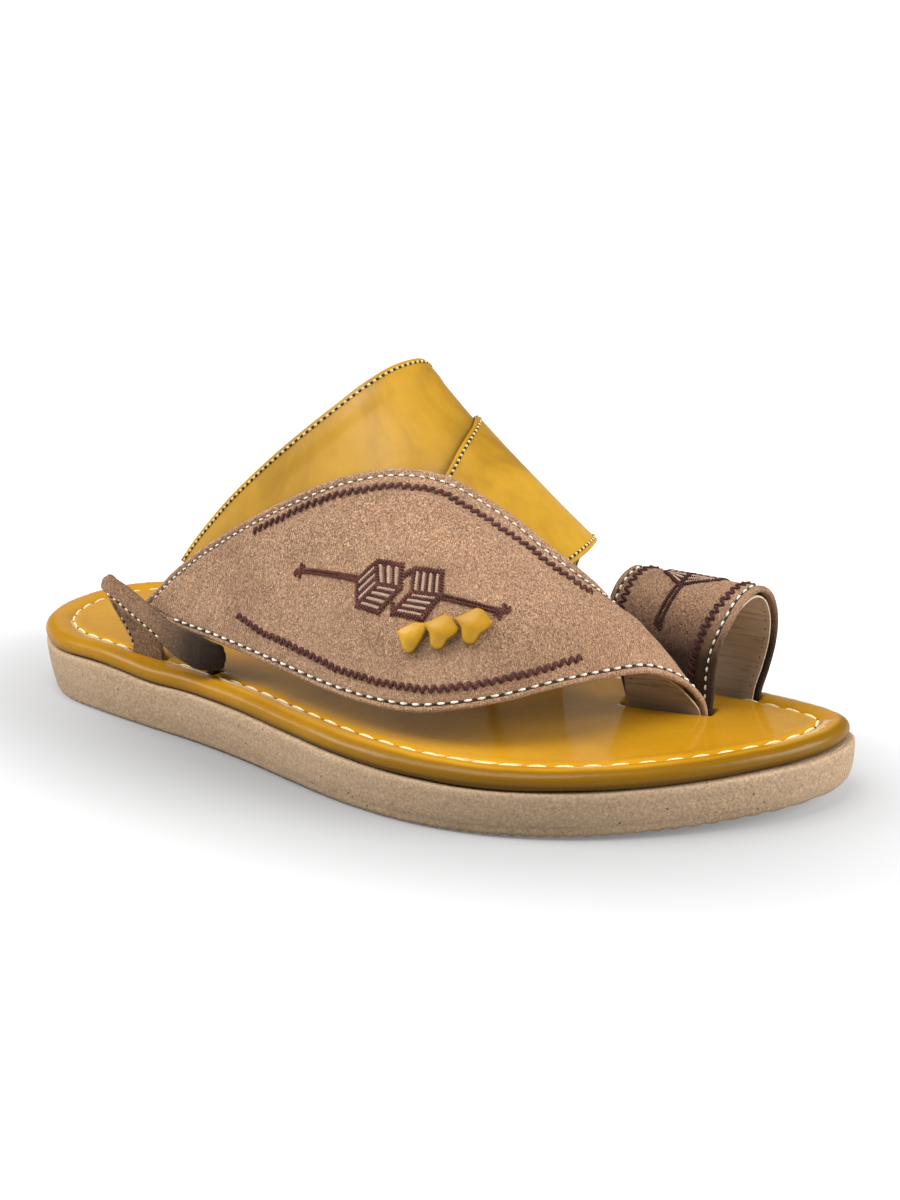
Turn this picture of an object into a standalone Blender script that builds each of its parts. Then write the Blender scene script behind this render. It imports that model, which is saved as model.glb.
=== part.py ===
"""Arabic sandal, right foot: foam outsole, leather footbed with strap slits,
joined strap upper (suede wing + two leather instep bands), toe loop, heel keeper
and three leather thong knots.

All sizes below are millimetres in the sandal's own frame: x runs from the back of
the heel (0) to the toe (290), +y is the medial (big-toe) side, z is up from the floor.
The finished meshes are in metres with the origin under the middle of the sole.
"""
import math

import bmesh
import bpy
from mathutils import Vector

# ----------------------------------------------------------------------------- sizes
LENGTH = 290.0            # heel to toe
HEEL_TIP_Y = 5.0          # sideways place of the rearmost point
TOE_TIP_Y = 27.0          # sideways place of the foremost point
SPRING_FROM = 205.0       # forefoot leaves the floor from here on
TOE_SPRING = 4.0          # lift of the sole's underside at the toe tip
PAD = 5.3                 # footbed thickness above the outsole
GAP = 0.3                 # space left between pieces that touch
BAND = 2.3                # instep band leather, lined
SUEDE = 2.9               # suede strap with its lining
SUNK = 4.3                # how far a strap end goes down into its slit

# sole outline: station x, lateral edge y, medial edge y
OUTLINE = [
    (3.5, -13.5, 22.5),
    (13.0, -28.6, 34.5),
    (27.0, -38.2, 39.6),
    (51.0, -43.0, 39.6),
    (74.0, -45.4, 38.2),
    (98.0, -47.3, 37.4),
    (121.0, -50.8, 37.2),
    (145.0, -56.2, 38.6),
    (168.0, -60.9, 42.6),
    (192.0, -62.4, 48.4),
    (215.0, -58.6, 52.6),
    (239.0, -47.4, 54.0),
    (262.0, -27.8, 51.2),
    (278.0, -7.0, 46.4),
    (286.5, 9.0, 40.0),
]

# outsole thickness: station x, thickness
THICKNESS = [(0.0, 17.9), (40.0, 17.5), (70.0, 17.0), (120.0, 16.2),
             (165.0, 15.0), (205.0, 14.2), (250.0, 13.8), (290.0, 13.5)]

# outsole wall from the floor up: inset from the outline, share of the thickness, extra height
OUTSOLE_WALL = [(3.2, 0.0, 0.0), (1.8, 0.0, 0.5), (1.2, 0.0, 1.8),
                (0.3, 0.5, 0.0), (0.0, 1.0, -1.6), (0.6, 1.0, -0.5), (2.0, 1.0, 0.0)]

# footbed edge from its underside up and inward: inset from the outline, height over the outsole
FOOTBED_EDGE = [(2.6, GAP), (1.0, 0.7), (0.25, 2.0), (0.35, 3.8), (1.3, 5.2), (3.0, 5.9),
                (5.2, 5.9), (7.6, 5.5), (9.7, 5.0), (11.4, PAD)]

# last under the straps: station x, crest y, lateral half width, height over the footbed
LAST = [
    (60.0, -3.0, 30.0, 180.0),
    (80.0, -2.5, 32.5, 164.0),
    (100.0, -2.0, 36.0, 147.0),
    (130.0, -0.5, 42.0, 120.0),
    (152.0, 0.5, 46.0, 100.5),
    (170.0, 1.0, 47.5, 83.8),
    (190.0, 2.0, 46.0, 67.2),
    (205.0, 3.0, 42.5, 55.2),
    (220.0, 4.0, 39.0, 43.4),
]
MEDIAL_SLIT_X = (88.0, 188.0)     # both bands go down here, inside the stitch line
MEDIAL_SLIT_Y = (25.5, 33.0)

# instep bands: angle round the last (-90 lateral base, 90 medial base),
# collar edge x, rear edge x of the front band, front edge x
BANDS = [
    (-77.0, 88.0, 158.0, 178.0),
    (-68.0, 104.5, 166.0, 186.0),
    (-58.0, 120.0, 171.5, 194.0),
    (-48.0, 131.8, 175.0, 201.0),
    (-36.0, 141.6, 177.0, 207.5),
    (-24.0, 147.2, 177.2, 212.4),
    (-12.0, 150.2, 175.3, 213.8),
    (0.0, 151.4, 172.4, 213.2),
    (12.0, 150.6, 168.6, 211.2),
    (25.0, 146.8, 163.0, 207.2),
    (40.0, 139.4, 156.0, 200.2),
    (55.0, 129.0, 148.0, 194.2),
    (70.0, 114.0, 140.0, 189.4),
    (82.0, 98.5, 134.5, 187.2),
    (90.0, 89.0, 131.5, 187.0),
]
REAR_BAND_TUCK = 26.0     # rear band runs on this far under the front band

# suede wing where it lies on the last: station x, lower edge z, upper edge z
WING = [
    (70.0, 37.4, 39.4),
    (77.0, 36.4, 45.6),
    (86.0, 35.5, 53.4),
    (97.0, 35.0, 61.3),
    (110.0, 34.4, 69.5),
    (125.0, 33.2, 78.0),
    (140.0, 31.8, 85.6),
    (154.0, 30.2, 91.4),
    (167.0, 29.1, 93.2),
    (178.0, 28.7, 90.2),
    (188.0, 28.9, 84.2),
    (198.0, 30.4, 77.4),
]
WING_OUT = [(165.0, 4.6), (188.0, 6.2)]   # station x, wing outer face over the last

# suede wing past the last, turning over the toes into the toe slit:
# lower edge (x, y, z), crown (x, y, z), upper edge (x, y, z)
WING_TOE = [
    ((212.0, -38.0, 33.6), (213.0, -31.5, 57.0), (212.0, -11.5, 75.0)),
    ((222.0, -27.0, 36.4), (222.0, -20.5, 55.5), (219.0, -8.5, 69.5)),
    ((230.0, -12.0, 37.2), (227.2, -5.5, 54.6), (221.0, 0.5, 62.0)),
    ((237.5, 4.0, 36.4), (231.6, 7.6, 49.8), (220.6, 10.0, 53.0)),
    ((243.2, 17.0, 30.4), (235.4, 17.4, 38.6), (220.0, 16.0, 40.5)),
    ((245.8, 24.2, 23.6), (235.4, 23.2, 27.4), (219.6, 19.8, 28.2)),
    ((246.0, 26.0, 16.0), (233.0, 24.0, 16.0), (219.6, 21.4, 16.0)),
]

# toe loop, outer face, from the toe slit over the big toe to the outer slit:
# y, z, rear edge x, front edge x, how much further out the rear edge lies
TOE_LOOP = [
    (26.5, 16.0, 219.2, 246.0, -4.6),
    (26.3, 24.0, 217.2, 246.7, -4.2),
    (24.6, 33.0, 213.2, 247.8, -2.6),
    (23.6, 42.0, 210.4, 250.0, -1.4),
    (25.4, 50.0, 209.7, 252.6, -0.6),
    (30.8, 56.4, 210.1, 254.4, 0.0),
    (37.6, 58.6, 211.1, 255.8, 0.0),
    (44.6, 55.6, 212.2, 256.4, 0.0),
    (49.4, 48.0, 212.8, 256.4, 0.0),
    (50.8, 38.5, 213.0, 255.6, 0.0),
    (49.4, 29.0, 212.8, 254.2, 0.0),
    (47.4, 22.0, 212.4, 253.0, 0.0),
    (47.0, 16.0, 212.0, 252.6, 0.0),
]

# heel keeper strap, centre line: x, y, z, then the way its width points (x, y, z), width
KEEPER = [
    (70.0, -35.6, 17.4, 1.0, 0.0, 0.0, 13.5),
    (69.8, -35.7, 23.0, 1.0, 0.0, 0.05, 13.5),
    (67.4, -36.2, 29.4, 0.95, 0.05, 0.3, 11.0),
    (63.6, -37.2, 35.8, 0.75, 0.25, 0.6, 9.0),
    (60.0, -39.0, 42.0, 0.5, 0.45, 0.7, 8.5),
    (58.8, -42.0, 46.4, 0.25, 0.6, 0.75, 8.5),
    (62.2, -44.8, 47.0, 0.1, 0.62, 0.78, 8.0),
    (69.2, -45.6, 44.0, 0.1, 0.6, 0.8, 7.4),
    (78.0, -46.0, 40.0, 0.12, 0.55, 0.8, 7.2),
    (90.0, -46.6, 34.6, 0.15, 0.45, 0.86, 7.4),
    (98.0, -46.6, 31.2, 0.1, 0.3, 0.95, 8.4),
    (103.6, -45.2, 29.8, 0.05, 0.1, 1.0, 9.2),
    (107.0, -41.8, 29.3, 0.0, 0.0, 1.0, 8.6), (104.4, -39.0, 28.6, 0.0, 0.0, 1.0, 7.0),
    (100.4, -36.0, 25.8, 0.0, 0.0, 1.0, 5.6), (96.2, -33.4, 20.2, 0.0, 0.0, 1.0, 4.0),
]
KEEPER_THICK = 3.0

# slits through the footbed: x and y of one end, x and y of the other, width
SLITS = [
    (87.0, 27.5, 189.0, 35.15, 5.6),      # both bands, medial
    (217.6, 21.3, 248.0, 26.5, 7.8),      # wing and toe loop, between the toes
    (211.2, 45.5, 253.6, 45.5, 4.2),      # toe loop, medial
    (62.6, -35.6, 77.4, -35.6, 4.2),      # keeper, inner leg
    (103.4, -38.2, 93.6, -31.6, 6.2),    # keeper, outer leg
]

# leather thong knots on the wing: share of the way along it, share of the way up it
THONGS = [(0.525, 0.316), (0.560, 0.362), (0.597, 0.404)]
THONG_LONG, THONG_HIGH, THONG_THICK = 8.8, 9.2, 3.0

COLOURS = {
    "outsole": (0.60, 0.48, 0.36),
    "footbed": (0.62, 0.36, 0.04),
    "upper": (0.33, 0.22, 0.15),
    "toe_loop": (0.33, 0.22, 0.15),
    "keeper": (0.28, 0.19, 0.13),
    "thong": (0.62, 0.36, 0.04),
}


# ----------------------------------------------------------------------- small helpers
class Curve:
    """Smooth curve through table rows: a parameter and the values it carries."""

    def __init__(self, knots, values):
        self.k = list(knots)
        self.v = [tuple(v) for v in values]
        self.m = []
        last = len(self.k) - 1
        for i in range(last + 1):
            a, b = max(0, i - 1), min(last, i + 1)
            if 0 < i < last:
                h0, h1 = self.k[i] - self.k[a], self.k[b] - self.k[i]
                self.m.append(tuple(
                    ((q - p) / h0 * h1 + (r - q) / h1 * h0) / (h0 + h1)
                    for p, q, r in zip(self.v[a], self.v[i], self.v[b])))
            else:
                h = self.k[b] - self.k[a]
                self.m.append(tuple((r - p) / h for p, r in zip(self.v[a], self.v[b])))

    def __call__(self, t):
        k = self.k
        if t <= k[0]:
            return tuple(v + m * (t - k[0]) for v, m in zip(self.v[0], self.m[0]))
        if t >= k[-1]:
            return tuple(v + m * (t - k[-1]) for v, m in zip(self.v[-1], self.m[-1]))
        i = max(j for j in range(len(k) - 1) if k[j] <= t)
        h = k[i + 1] - k[i]
        u = (t - k[i]) / h
        a, b = 2 * u ** 3 - 3 * u * u + 1, u ** 3 - 2 * u * u + u
        c, d = 3 * u * u - 2 * u ** 3, u ** 3 - u * u
        return tuple(a * p + b * h * m + c * q + d * h * n for p, m, q, n in
                     zip(self.v[i], self.m[i], self.v[i + 1], self.m[i + 1]))


def column(rows):
    return Curve([r[0] for r in rows], [r[1:] for r in rows])


def mix(a, b, t):
    return a + (b - a) * t


def through(points):
    """Curve through points, its parameter the share of the chord length."""
    knots = [0.0]
    for p, q in zip(points, points[1:]):
        knots.append(knots[-1] + (Vector(q) - Vector(p)).length)
    return Curve([k / knots[-1] for k in knots], points)


def even(curve, count, dense=600):
    """Points spread evenly by length along a curve, both ends included."""
    pts = [Vector(curve(i / dense)) for i in range(dense + 1)]
    run = [0.0]
    for p, q in zip(pts, pts[1:]):
        run.append(run[-1] + (q - p).length)
    out, j = [], 0
    for i in range(count + 1):
        want = run[-1] * i / count
        while j < dense - 1 and run[j + 1] < want:
            j += 1
        span = run[j + 1] - run[j]
        out.append(pts[j].lerp(pts[j + 1], (want - run[j]) / span if span else 0.0))
    return out


# ------------------------------------------------------------------------------- sole
SIDE = 40                 # outline points on each side, heel tip to toe tip
ACROSS = 5                # strips across the sole


def outline():
    """Heel tip to toe tip along the lateral edge, and the same along the medial edge."""
    heel, toe = (0.0, HEEL_TIP_Y), (LENGTH, TOE_TIP_Y)
    lateral = [(x, lat) for x, lat, med in OUTLINE]
    medial = [(x, med) for x, lat, med in OUTLINE]
    loop = [heel] + lateral + [toe] + medial[::-1] + [heel]
    # the loop is carried on past the heel tip at both ends so that it closes smoothly
    lead, tail = medial[1::-1], lateral[:2]
    full = lead + loop + tail
    curve = through(full)
    k0, k1, k2 = (curve.k[len(lead)], curve.k[len(lead) + len(lateral) + 1],
                  curve.k[len(full) - len(tail) - 1])
    lat = even(lambda t: curve(mix(k0, k1, t)), SIDE)
    med = even(lambda t: curve(mix(k2, k1, t)), SIDE)
    return lat, med


LAT, MED = outline()


def inset_ring(d):
    """The outline moved inward by d, as a lateral and a medial side."""
    ring = LAT + MED[-2:0:-1]
    n = len(ring)
    moved = []
    for i, p in enumerate(ring):
        along = ring[(i + 1) % n] - ring[i - 1]
        # lateral edge first, so the inside lies to the left of the way round
        moved.append(p + Vector((-along.y, along.x)).normalized() * d)
    lat = moved[:SIDE + 1]
    med = [moved[0]] + moved[:SIDE - 1:-1]
    return lat, med


thick = column(THICKNESS)


def under(x):
    """Height of the sole's underside."""
    return TOE_SPRING * max(0.0, (x - SPRING_FROM) / (LENGTH - SPRING_FROM)) ** 2


def sole_top(x):
    return under(x) + thick(x)[0]


def bed(x):
    """Height of the footbed's walking face."""
    return sole_top(x) + PAD


def lofted(rings):
    """Closed mesh from rings (lateral side, medial side, height function), capped
    below the first ring and above the last one with strips across."""
    verts, faces, loops = [], [], []
    for lat, med, height in rings:
        ring = lat + med[-2:0:-1]
        loops.append(list(range(len(verts), len(verts) + len(ring))))
        verts += [(p.x, p.y, height(p.x)) for p in ring]
    n = len(loops[0])
    for a, b in zip(loops, loops[1:]):
        for i in range(n):
            j = (i + 1) % n
            faces.append((a[i], a[j], b[j], b[i]))
    for loop, (lat, med, height), flip in ((loops[0], rings[0], True),
                                           (loops[-1], rings[-1], False)):
        rows = []
        for i in range(SIDE + 1):
            left, right = loop[i], loop[-i % n] if i < SIDE else loop[SIDE]
            if i in (0, SIDE):
                rows.append([left])
                continue
            row = [left]
            for k in range(1, ACROSS):
                p = lat[i].lerp(med[i], k / ACROSS)
                row.append(len(verts))
                verts.append((p.x, p.y, height(p.x)))
            rows.append(row + [right])
        for r, s in zip(rows, rows[1:]):
            for k in range(ACROSS):
                quad = [r[min(k, len(r) - 1)], r[min(k + 1, len(r) - 1)],
                        s[min(k + 1, len(s) - 1)], s[min(k, len(s) - 1)]]
                quad = [v for q, v in enumerate(quad) if v not in quad[:q]]
                faces.append(tuple(quad if flip else quad[::-1]))
    return verts, faces


def outsole():
    rings = []
    for d, share, extra in OUTSOLE_WALL:
        lat, med = inset_ring(d)
        rings.append((lat, med, lambda x, s=share, e=extra: under(x) + thick(x)[0] * s + e))
    return lofted(rings)


def footbed():
    rings = []
    for d, rise in FOOTBED_EDGE:
        lat, med = inset_ring(d)
        rings.append((lat, med, lambda x, r=rise: sole_top(x) + r))
    return lofted(rings)


# ------------------------------------------------------------------------------- last
last = column(LAST)


def slit_y(x):
    (x0, x1), (y0, y1) = MEDIAL_SLIT_X, MEDIAL_SLIT_Y
    return mix(y0, y1, (x - x0) / (x1 - x0))


def on_last(x, angle, out=0.0):
    """Point at station x and an angle round the arch, moved out along the surface normal."""
    def bare(x, a):
        crest, half, high = last(x)
        side = half if a < 0 else slit_y(x) - crest
        return Vector((x, crest + side * math.sin(a), bed(x) + high * math.cos(a)))
    p = bare(x, angle)
    if out:
        e = 0.01
        normal = (bare(x + 0.5, angle) - bare(x - 0.5, angle)).cross(
            bare(x, angle + e) - bare(x, angle - e))
        p = p + normal.normalized() * out
    return p


def angle_at(x, z):
    """Angle on the lateral side of the last at a given height."""
    return -math.acos(max(-1.0, min(1.0, (z - bed(x)) / last(x)[2])))


def shell(outer, wall):
    """Closed sheet from a grid of outer points, its inner face a wall's thickness in."""
    rows, cols = len(outer), len(outer[0])
    inner = []
    for i in range(rows):
        line = []
        for j in range(cols):
            along = outer[min(i + 1, rows - 1)][j] - outer[max(i - 1, 0)][j]
            round_ = outer[i][min(j + 1, cols - 1)] - outer[i][max(j - 1, 0)]
            line.append(outer[i][j] - along.cross(round_).normalized() * wall)
        inner.append(line)
    verts = [p for grid in (outer, inner) for line in grid for p in line]
    off = rows * cols
    faces = []
    for i in range(rows - 1):
        for j in range(cols - 1):
            q = (i * cols + j, (i + 1) * cols + j, (i + 1) * cols + j + 1, i * cols + j + 1)
            faces += [q, tuple(v + off for v in q[::-1])]
    rim = ([j for j in range(cols)] + [i * cols + cols - 1 for i in range(1, rows)]
           + [(rows - 1) * cols + j for j in range(cols - 2, -1, -1)]
           + [i * cols for i in range(rows - 2, 0, -1)])
    for a, b in zip(rim, rim[1:] + rim[:1]):
        faces.append((a, b, b + off, a + off))
    return verts, faces


def band(rear_edge, front_edge, inner, rows, cols):
    """Leather band round the last between two edges, its inner face 'inner' over the last;
    its medial end goes straight down into the footbed slit."""
    edges = column([(b[0], b[rear_edge], b[front_edge]) for b in BANDS])
    grid = []
    for i in range(rows + 1):
        a = mix(BANDS[0][0], 90.0, i / rows)
        x0, x1 = edges(a)
        if rear_edge == 1:
            x1 = min(x1, lap(a)[0] + REAR_BAND_TUCK)
        grid.append([on_last(mix(x1, x0, j / cols), math.radians(a), inner + BAND)
                     for j in range(cols + 1)])
    for drop in (2.2, SUNK):
        grid.append([Vector((p.x, p.y, bed(p.x) - drop)) for p in grid[rows]])
    return grid


lap = column([(b[0], b[2]) for b in BANDS])

RIB = 10                  # strips up the wing
WING_ROWS = 42            # strips along the wing


def wing_ribs():
    ribs = []
    out = column(WING_OUT)
    for x, low, high in WING:
        o = out(min(max(x, WING_OUT[0][0]), WING_OUT[1][0]))[0]
        a0, a1 = angle_at(x, low), angle_at(x, high)
        curve = [on_last(x, mix(a0, a1, k / 60), o) for k in range(61)]
        path = through(curve)
        ribs.append(even(path, RIB, 120))
    for low, crown, high in WING_TOE:
        path = Curve([0.0, 0.5, 1.0], [low, crown, high])
        ribs.append(even(path, RIB, 120))
    return ribs


class Wing:
    """The wing's outer face as a surface: share of the way along, share of the way up."""

    def __init__(self):
        ribs = wing_ribs()
        mid = [r[RIB // 2] for r in ribs]
        knots = [0.0]
        for p, q in zip(mid, mid[1:]):
            knots.append(knots[-1] + (q - p).length)
        knots = [k / knots[-1] for k in knots]
        self.lines = [Curve(knots, [r[j] for r in ribs]) for j in range(RIB + 1)]

    def at(self, s, t):
        pts = [Vector(line(s)) for line in self.lines]
        return Vector(Curve([j / RIB for j in range(RIB + 1)], pts)(t))

    def normal(self, s, t):
        e = 0.004
        along = self.at(s + e, t) - self.at(s - e, t)
        up = self.at(s, t + e) - self.at(s, t - e)
        return along.cross(up).normalized()


wing = Wing()


def wing_grid():
    return [[wing.at(i / WING_ROWS, j / RIB) for j in range(RIB + 1)]
            for i in range(WING_ROWS + 1)]


def toe_loop_grid(rows=30, cols=8):
    path = through([r[:2] for r in TOE_LOOP])
    full = Curve(path.k, TOE_LOOP)
    grid = []
    for i in range(rows + 1):
        y, z, x0, x1, out = full(i / rows)
        grid.append([Vector((mix(x1, x0, j / cols), y + out * j / cols, z))
                     for j in range(cols + 1)])
    return grid


def keeper_mesh(steps=40):
    path = through([r[:3] for r in KEEPER])
    full = Curve(path.k, KEEPER)
    section = [(-1, -1), (-0.5, -1), (0, -1), (0.5, -1), (1, -1), (1, 1), (0.5, 1), (0, 1),
               (-0.5, 1), (-1, 1)]
    verts, faces = [], []
    n = len(section)
    for i in range(steps + 1):
        t = i / steps
        row = full(t)
        p, wide, width = Vector(row[:3]), Vector(row[3:6]), row[6]
        way = (Vector(path(min(1, t + 0.01))) - Vector(path(max(0, t - 0.01)))).normalized()
        wide = (wide - way * wide.dot(way)).normalized()
        thin = way.cross(wide)
        for a, b in section:
            verts.append(p + wide * (a * width / 2) + thin * (b * KEEPER_THICK / 2))
    for i in range(steps):
        for j in range(n):
            k = (j + 1) % n
            faces.append((i * n + j, i * n + k, (i + 1) * n + k, (i + 1) * n + j))
    faces.append(tuple(range(n - 1, -1, -1)))
    faces.append(tuple(range(steps * n, steps * n + n)))
    return verts, faces


def thong_mesh(s, t):
    """Pillow-shaped diamond lying on the wing."""
    base, n = wing.at(s, t), wing.normal(s, t)
    along = (wing.at(s + 0.01, t) - wing.at(s - 0.01, t)).normalized()
    up = n.cross(along).normalized()
    # level, share of the outline
    levels = [(0.45, 0.80), (1.2, 1.0), (THONG_THICK - 0.9, 0.82), (THONG_THICK - 0.2, 0.5)]
    around = 16
    verts, faces = [], []
    for level, share in levels:
        for i in range(around):
            a = 2 * math.pi * i / around
            c, d = math.cos(a), math.sin(a)
            # rounded diamond: between a rhombus and an ellipse
            r = share / (abs(c) ** 1.25 + abs(d) ** 1.25) ** 0.8
            verts.append(base + n * level + along * (r * c * THONG_LONG / 2)
                         + up * (r * d * THONG_HIGH / 2))
    for k in range(len(levels) - 1):
        for i in range(around):
            j = (i + 1) % around
            faces.append((k * around + i, k * around + j,
                          (k + 1) * around + j, (k + 1) * around + i))
    faces.append(tuple(range(around - 1, -1, -1)))
    top = len(verts)
    verts.append(base + n * THONG_THICK)
    first = (len(levels) - 1) * around
    for i in range(around):
        faces.append((first + i, first + (i + 1) % around, top))
    return verts, faces


# ---------------------------------------------------------------------------- objects
ALL = LAT + MED
SHIFT = Vector((-LENGTH / 2, -(min(p.y for p in ALL) + max(p.y for p in ALL)) / 2, 0.0))


def collection(name):
    c = bpy.data.collections.new(name)
    bpy.context.scene.collection.children.link(c)
    return c


def material(name, colour):
    m = bpy.data.materials.new(name)
    m.use_nodes = True
    m.node_tree.nodes["Principled BSDF"].inputs["Base Color"].default_value = (*colour, 1.0)
    m.node_tree.nodes["Principled BSDF"].inputs["Roughness"].default_value = 0.7
    m.diffuse_color = (*colour, 1.0)
    return m


def make(name, mesh_data, where, colour):
    verts, faces = mesh_data
    mesh = bpy.data.meshes.new(name)
    mesh.from_pydata([(Vector(v) + SHIFT) * 0.001 for v in verts], [], faces)
    bm = bmesh.new()
    bm.from_mesh(mesh)
    bmesh.ops.recalc_face_normals(bm, faces=bm.faces)
    bmesh.ops.triangulate(bm, faces=bm.faces)
    bm.to_mesh(mesh)
    bm.free()
    obj = bpy.data.objects.new(name, mesh)
    mesh.materials.append(material(name, colour))
    where.objects.link(obj)
    return obj


def cut(obj, tool, how):
    m = obj.modifiers.new(how.lower() + "_" + tool.name, "BOOLEAN")
    m.operation = how
    m.solver = "EXACT"
    m.object = tool


def tool(name, mesh_data):
    obj = make(name, mesh_data, CUTTERS, (0.8, 0.2, 0.2))
    obj.hide_render = True
    obj.display_type = "WIRE"
    return obj


def slit_box(x0, y0, x1, y1, width):
    way = Vector((x1 - x0, y1 - y0, 0.0)).normalized()
    side = Vector((-way.y, way.x, 0.0)) * (width / 2)
    a, b = Vector((x0, y0, 0.0)), Vector((x1, y1, 0.0))
    low, high = Vector((0, 0, sole_top(x0) - 3.0)), Vector((0, 0, bed(x0) + 6.0))
    corners = [a - side, b - side, b + side, a + side]
    verts = [c + low for c in corners] + [c + high for c in corners]
    faces = [(3, 2, 1, 0), (4, 5, 6, 7)] + [(i, (i + 1) % 4, (i + 1) % 4 + 4, i + 4)
                                            for i in range(4)]
    return verts, faces


for old in list(bpy.data.objects):
    bpy.data.objects.remove(old, do_unlink=True)
PARTS = collection("arabic_sandal")
CUTTERS = collection("cutters")

make("outsole", outsole(), PARTS, COLOURS["outsole"])
pad = make("footbed", footbed(), PARTS, COLOURS["footbed"])
for i, row in enumerate(SLITS):
    cut(pad, tool("slit_%d" % (i + 1), slit_box(*row)), "DIFFERENCE")

upper = make("upper", shell(wing_grid(), SUEDE), PARTS, COLOURS["upper"])
rear = tool("rear_band", shell(band(1, 3, 0.0, 30, 7), BAND))
front = tool("front_band", shell(band(2, 3, 1.7, 30, 6), BAND))
cut(upper, rear, "UNION")
cut(upper, front, "UNION")

make("toe_loop", shell(toe_loop_grid(), SUEDE), PARTS, COLOURS["toe_loop"])
make("keeper", keeper_mesh(), PARTS, COLOURS["keeper"])
for i, (s, t) in enumerate(THONGS):
    make("thong_%d" % (i + 1), thong_mesh(s, t), PARTS, COLOURS["thong"])
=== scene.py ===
"""Right-foot sandal: beige foam outsole, mustard leather footbed, two glossy instep bands,
a suede wing with stitched ornament, a lined toe loop, a heel keeper and three leather knots.

Sizes are millimetres in the sandal's own frame: x from the back of the heel (0) to the
toe (290), +y the big-toe side, z up from the floor. Meshes are placed in metres, with the
origin under the middle of the sole.
"""
import math

import bmesh
import bpy
import numpy as np
from mathutils import Matrix, Vector, noise


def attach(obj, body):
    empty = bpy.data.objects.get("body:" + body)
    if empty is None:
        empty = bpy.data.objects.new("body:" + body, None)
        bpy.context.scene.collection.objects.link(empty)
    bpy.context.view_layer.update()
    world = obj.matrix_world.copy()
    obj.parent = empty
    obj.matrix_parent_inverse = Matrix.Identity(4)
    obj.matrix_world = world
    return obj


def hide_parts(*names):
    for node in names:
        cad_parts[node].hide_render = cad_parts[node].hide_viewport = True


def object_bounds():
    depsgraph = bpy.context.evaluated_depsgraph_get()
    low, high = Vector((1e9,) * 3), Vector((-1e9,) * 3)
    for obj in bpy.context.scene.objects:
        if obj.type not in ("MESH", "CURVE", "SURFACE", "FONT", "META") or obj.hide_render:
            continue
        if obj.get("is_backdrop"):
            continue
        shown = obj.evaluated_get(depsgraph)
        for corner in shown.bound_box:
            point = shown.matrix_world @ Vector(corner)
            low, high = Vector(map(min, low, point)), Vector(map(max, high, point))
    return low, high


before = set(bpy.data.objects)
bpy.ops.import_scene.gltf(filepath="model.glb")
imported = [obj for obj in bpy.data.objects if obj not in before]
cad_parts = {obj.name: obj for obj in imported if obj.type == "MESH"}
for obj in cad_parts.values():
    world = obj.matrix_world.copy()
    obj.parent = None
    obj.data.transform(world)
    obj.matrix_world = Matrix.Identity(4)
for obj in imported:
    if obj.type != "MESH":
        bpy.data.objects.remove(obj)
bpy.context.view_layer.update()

# ------------------------------------------------------------------------------- sizes
LENGTH = 290.0
HEEL_TIP_Y = 5.0
TOE_TIP_Y = 27.0
SPRING_FROM = 205.0
TOE_SPRING = 4.0
PAD = 5.3
BAND = 2.3
SUEDE = 2.9

# sole outline: station x, lateral edge y, medial edge y
OUTLINE = [
    (3.5, -13.5, 22.5), (13.0, -28.6, 34.5), (27.0, -38.2, 39.6), (51.0, -43.0, 39.6),
    (74.0, -45.4, 38.2), (98.0, -47.3, 37.4), (121.0, -50.8, 37.2), (145.0, -56.2, 38.6),
    (168.0, -60.9, 42.6), (192.0, -62.4, 48.4), (215.0, -58.6, 52.6), (239.0, -47.4, 54.0),
    (262.0, -27.8, 51.2), (278.0, -7.0, 46.4), (286.5, 9.0, 40.0),
]
# outsole thickness: station x, thickness
THICKNESS = [(0.0, 17.9), (40.0, 17.5), (70.0, 17.0), (120.0, 16.2),
             (165.0, 15.0), (205.0, 14.2), (250.0, 13.8), (290.0, 13.5)]
# outsole wall from the floor up: inset, share of the thickness, extra height
OUTSOLE_WALL = [(4.2, 0.0, 0.0), (2.6, 0.0, 0.05), (1.7, 0.0, 0.5), (1.25, 0.0, 1.4),
                (1.0, 0.0, 3.0), (0.65, 0.3, 0.0), (0.3, 0.5, 0.0), (0.1, 0.75, 0.0),
                (0.05, 1.0, -2.0), (0.2, 1.0, -0.8), (0.7, 1.0, -0.2), (2.4, 1.0, 0.0)]
# footbed edge from its underside, over the rolled rim, through the seam, to the pad:
# inset from the outline, height over the outsole
FOOT_RIM = [(3.0, 0.30), (1.5, 0.42), (0.75, 0.85), (0.32, 1.6), (0.18, 2.6), (0.36, 3.7),
            (0.95, 4.75), (1.9, 5.45), (3.2, 5.90), (4.8, 6.05), (6.4, 5.90), (7.8, 5.55),
            (8.7, 5.20), (9.3, 4.80), (9.7, 4.62), (10.1, 4.80), (10.9, 5.25), (12.0, 5.42),
            (14.0, 5.38)]
SEAM_INSET, SEAM_RISE = 9.7, 4.62
# slits through the footbed, the leather drawn close to the straps: x and y of one end,
# x and y of the other, width
SLITS = [
    (87.6, 27.6, 188.4, 35.1, 5.0),
    (218.6, 21.5, 247.0, 26.3, 6.6),
    (212.0, 45.5, 252.9, 45.5, 3.4),
    (63.0, -35.6, 77.0, -35.6, 3.4),
    (100.6, -36.4, 95.4, -32.8, 4.0),
]
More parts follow.
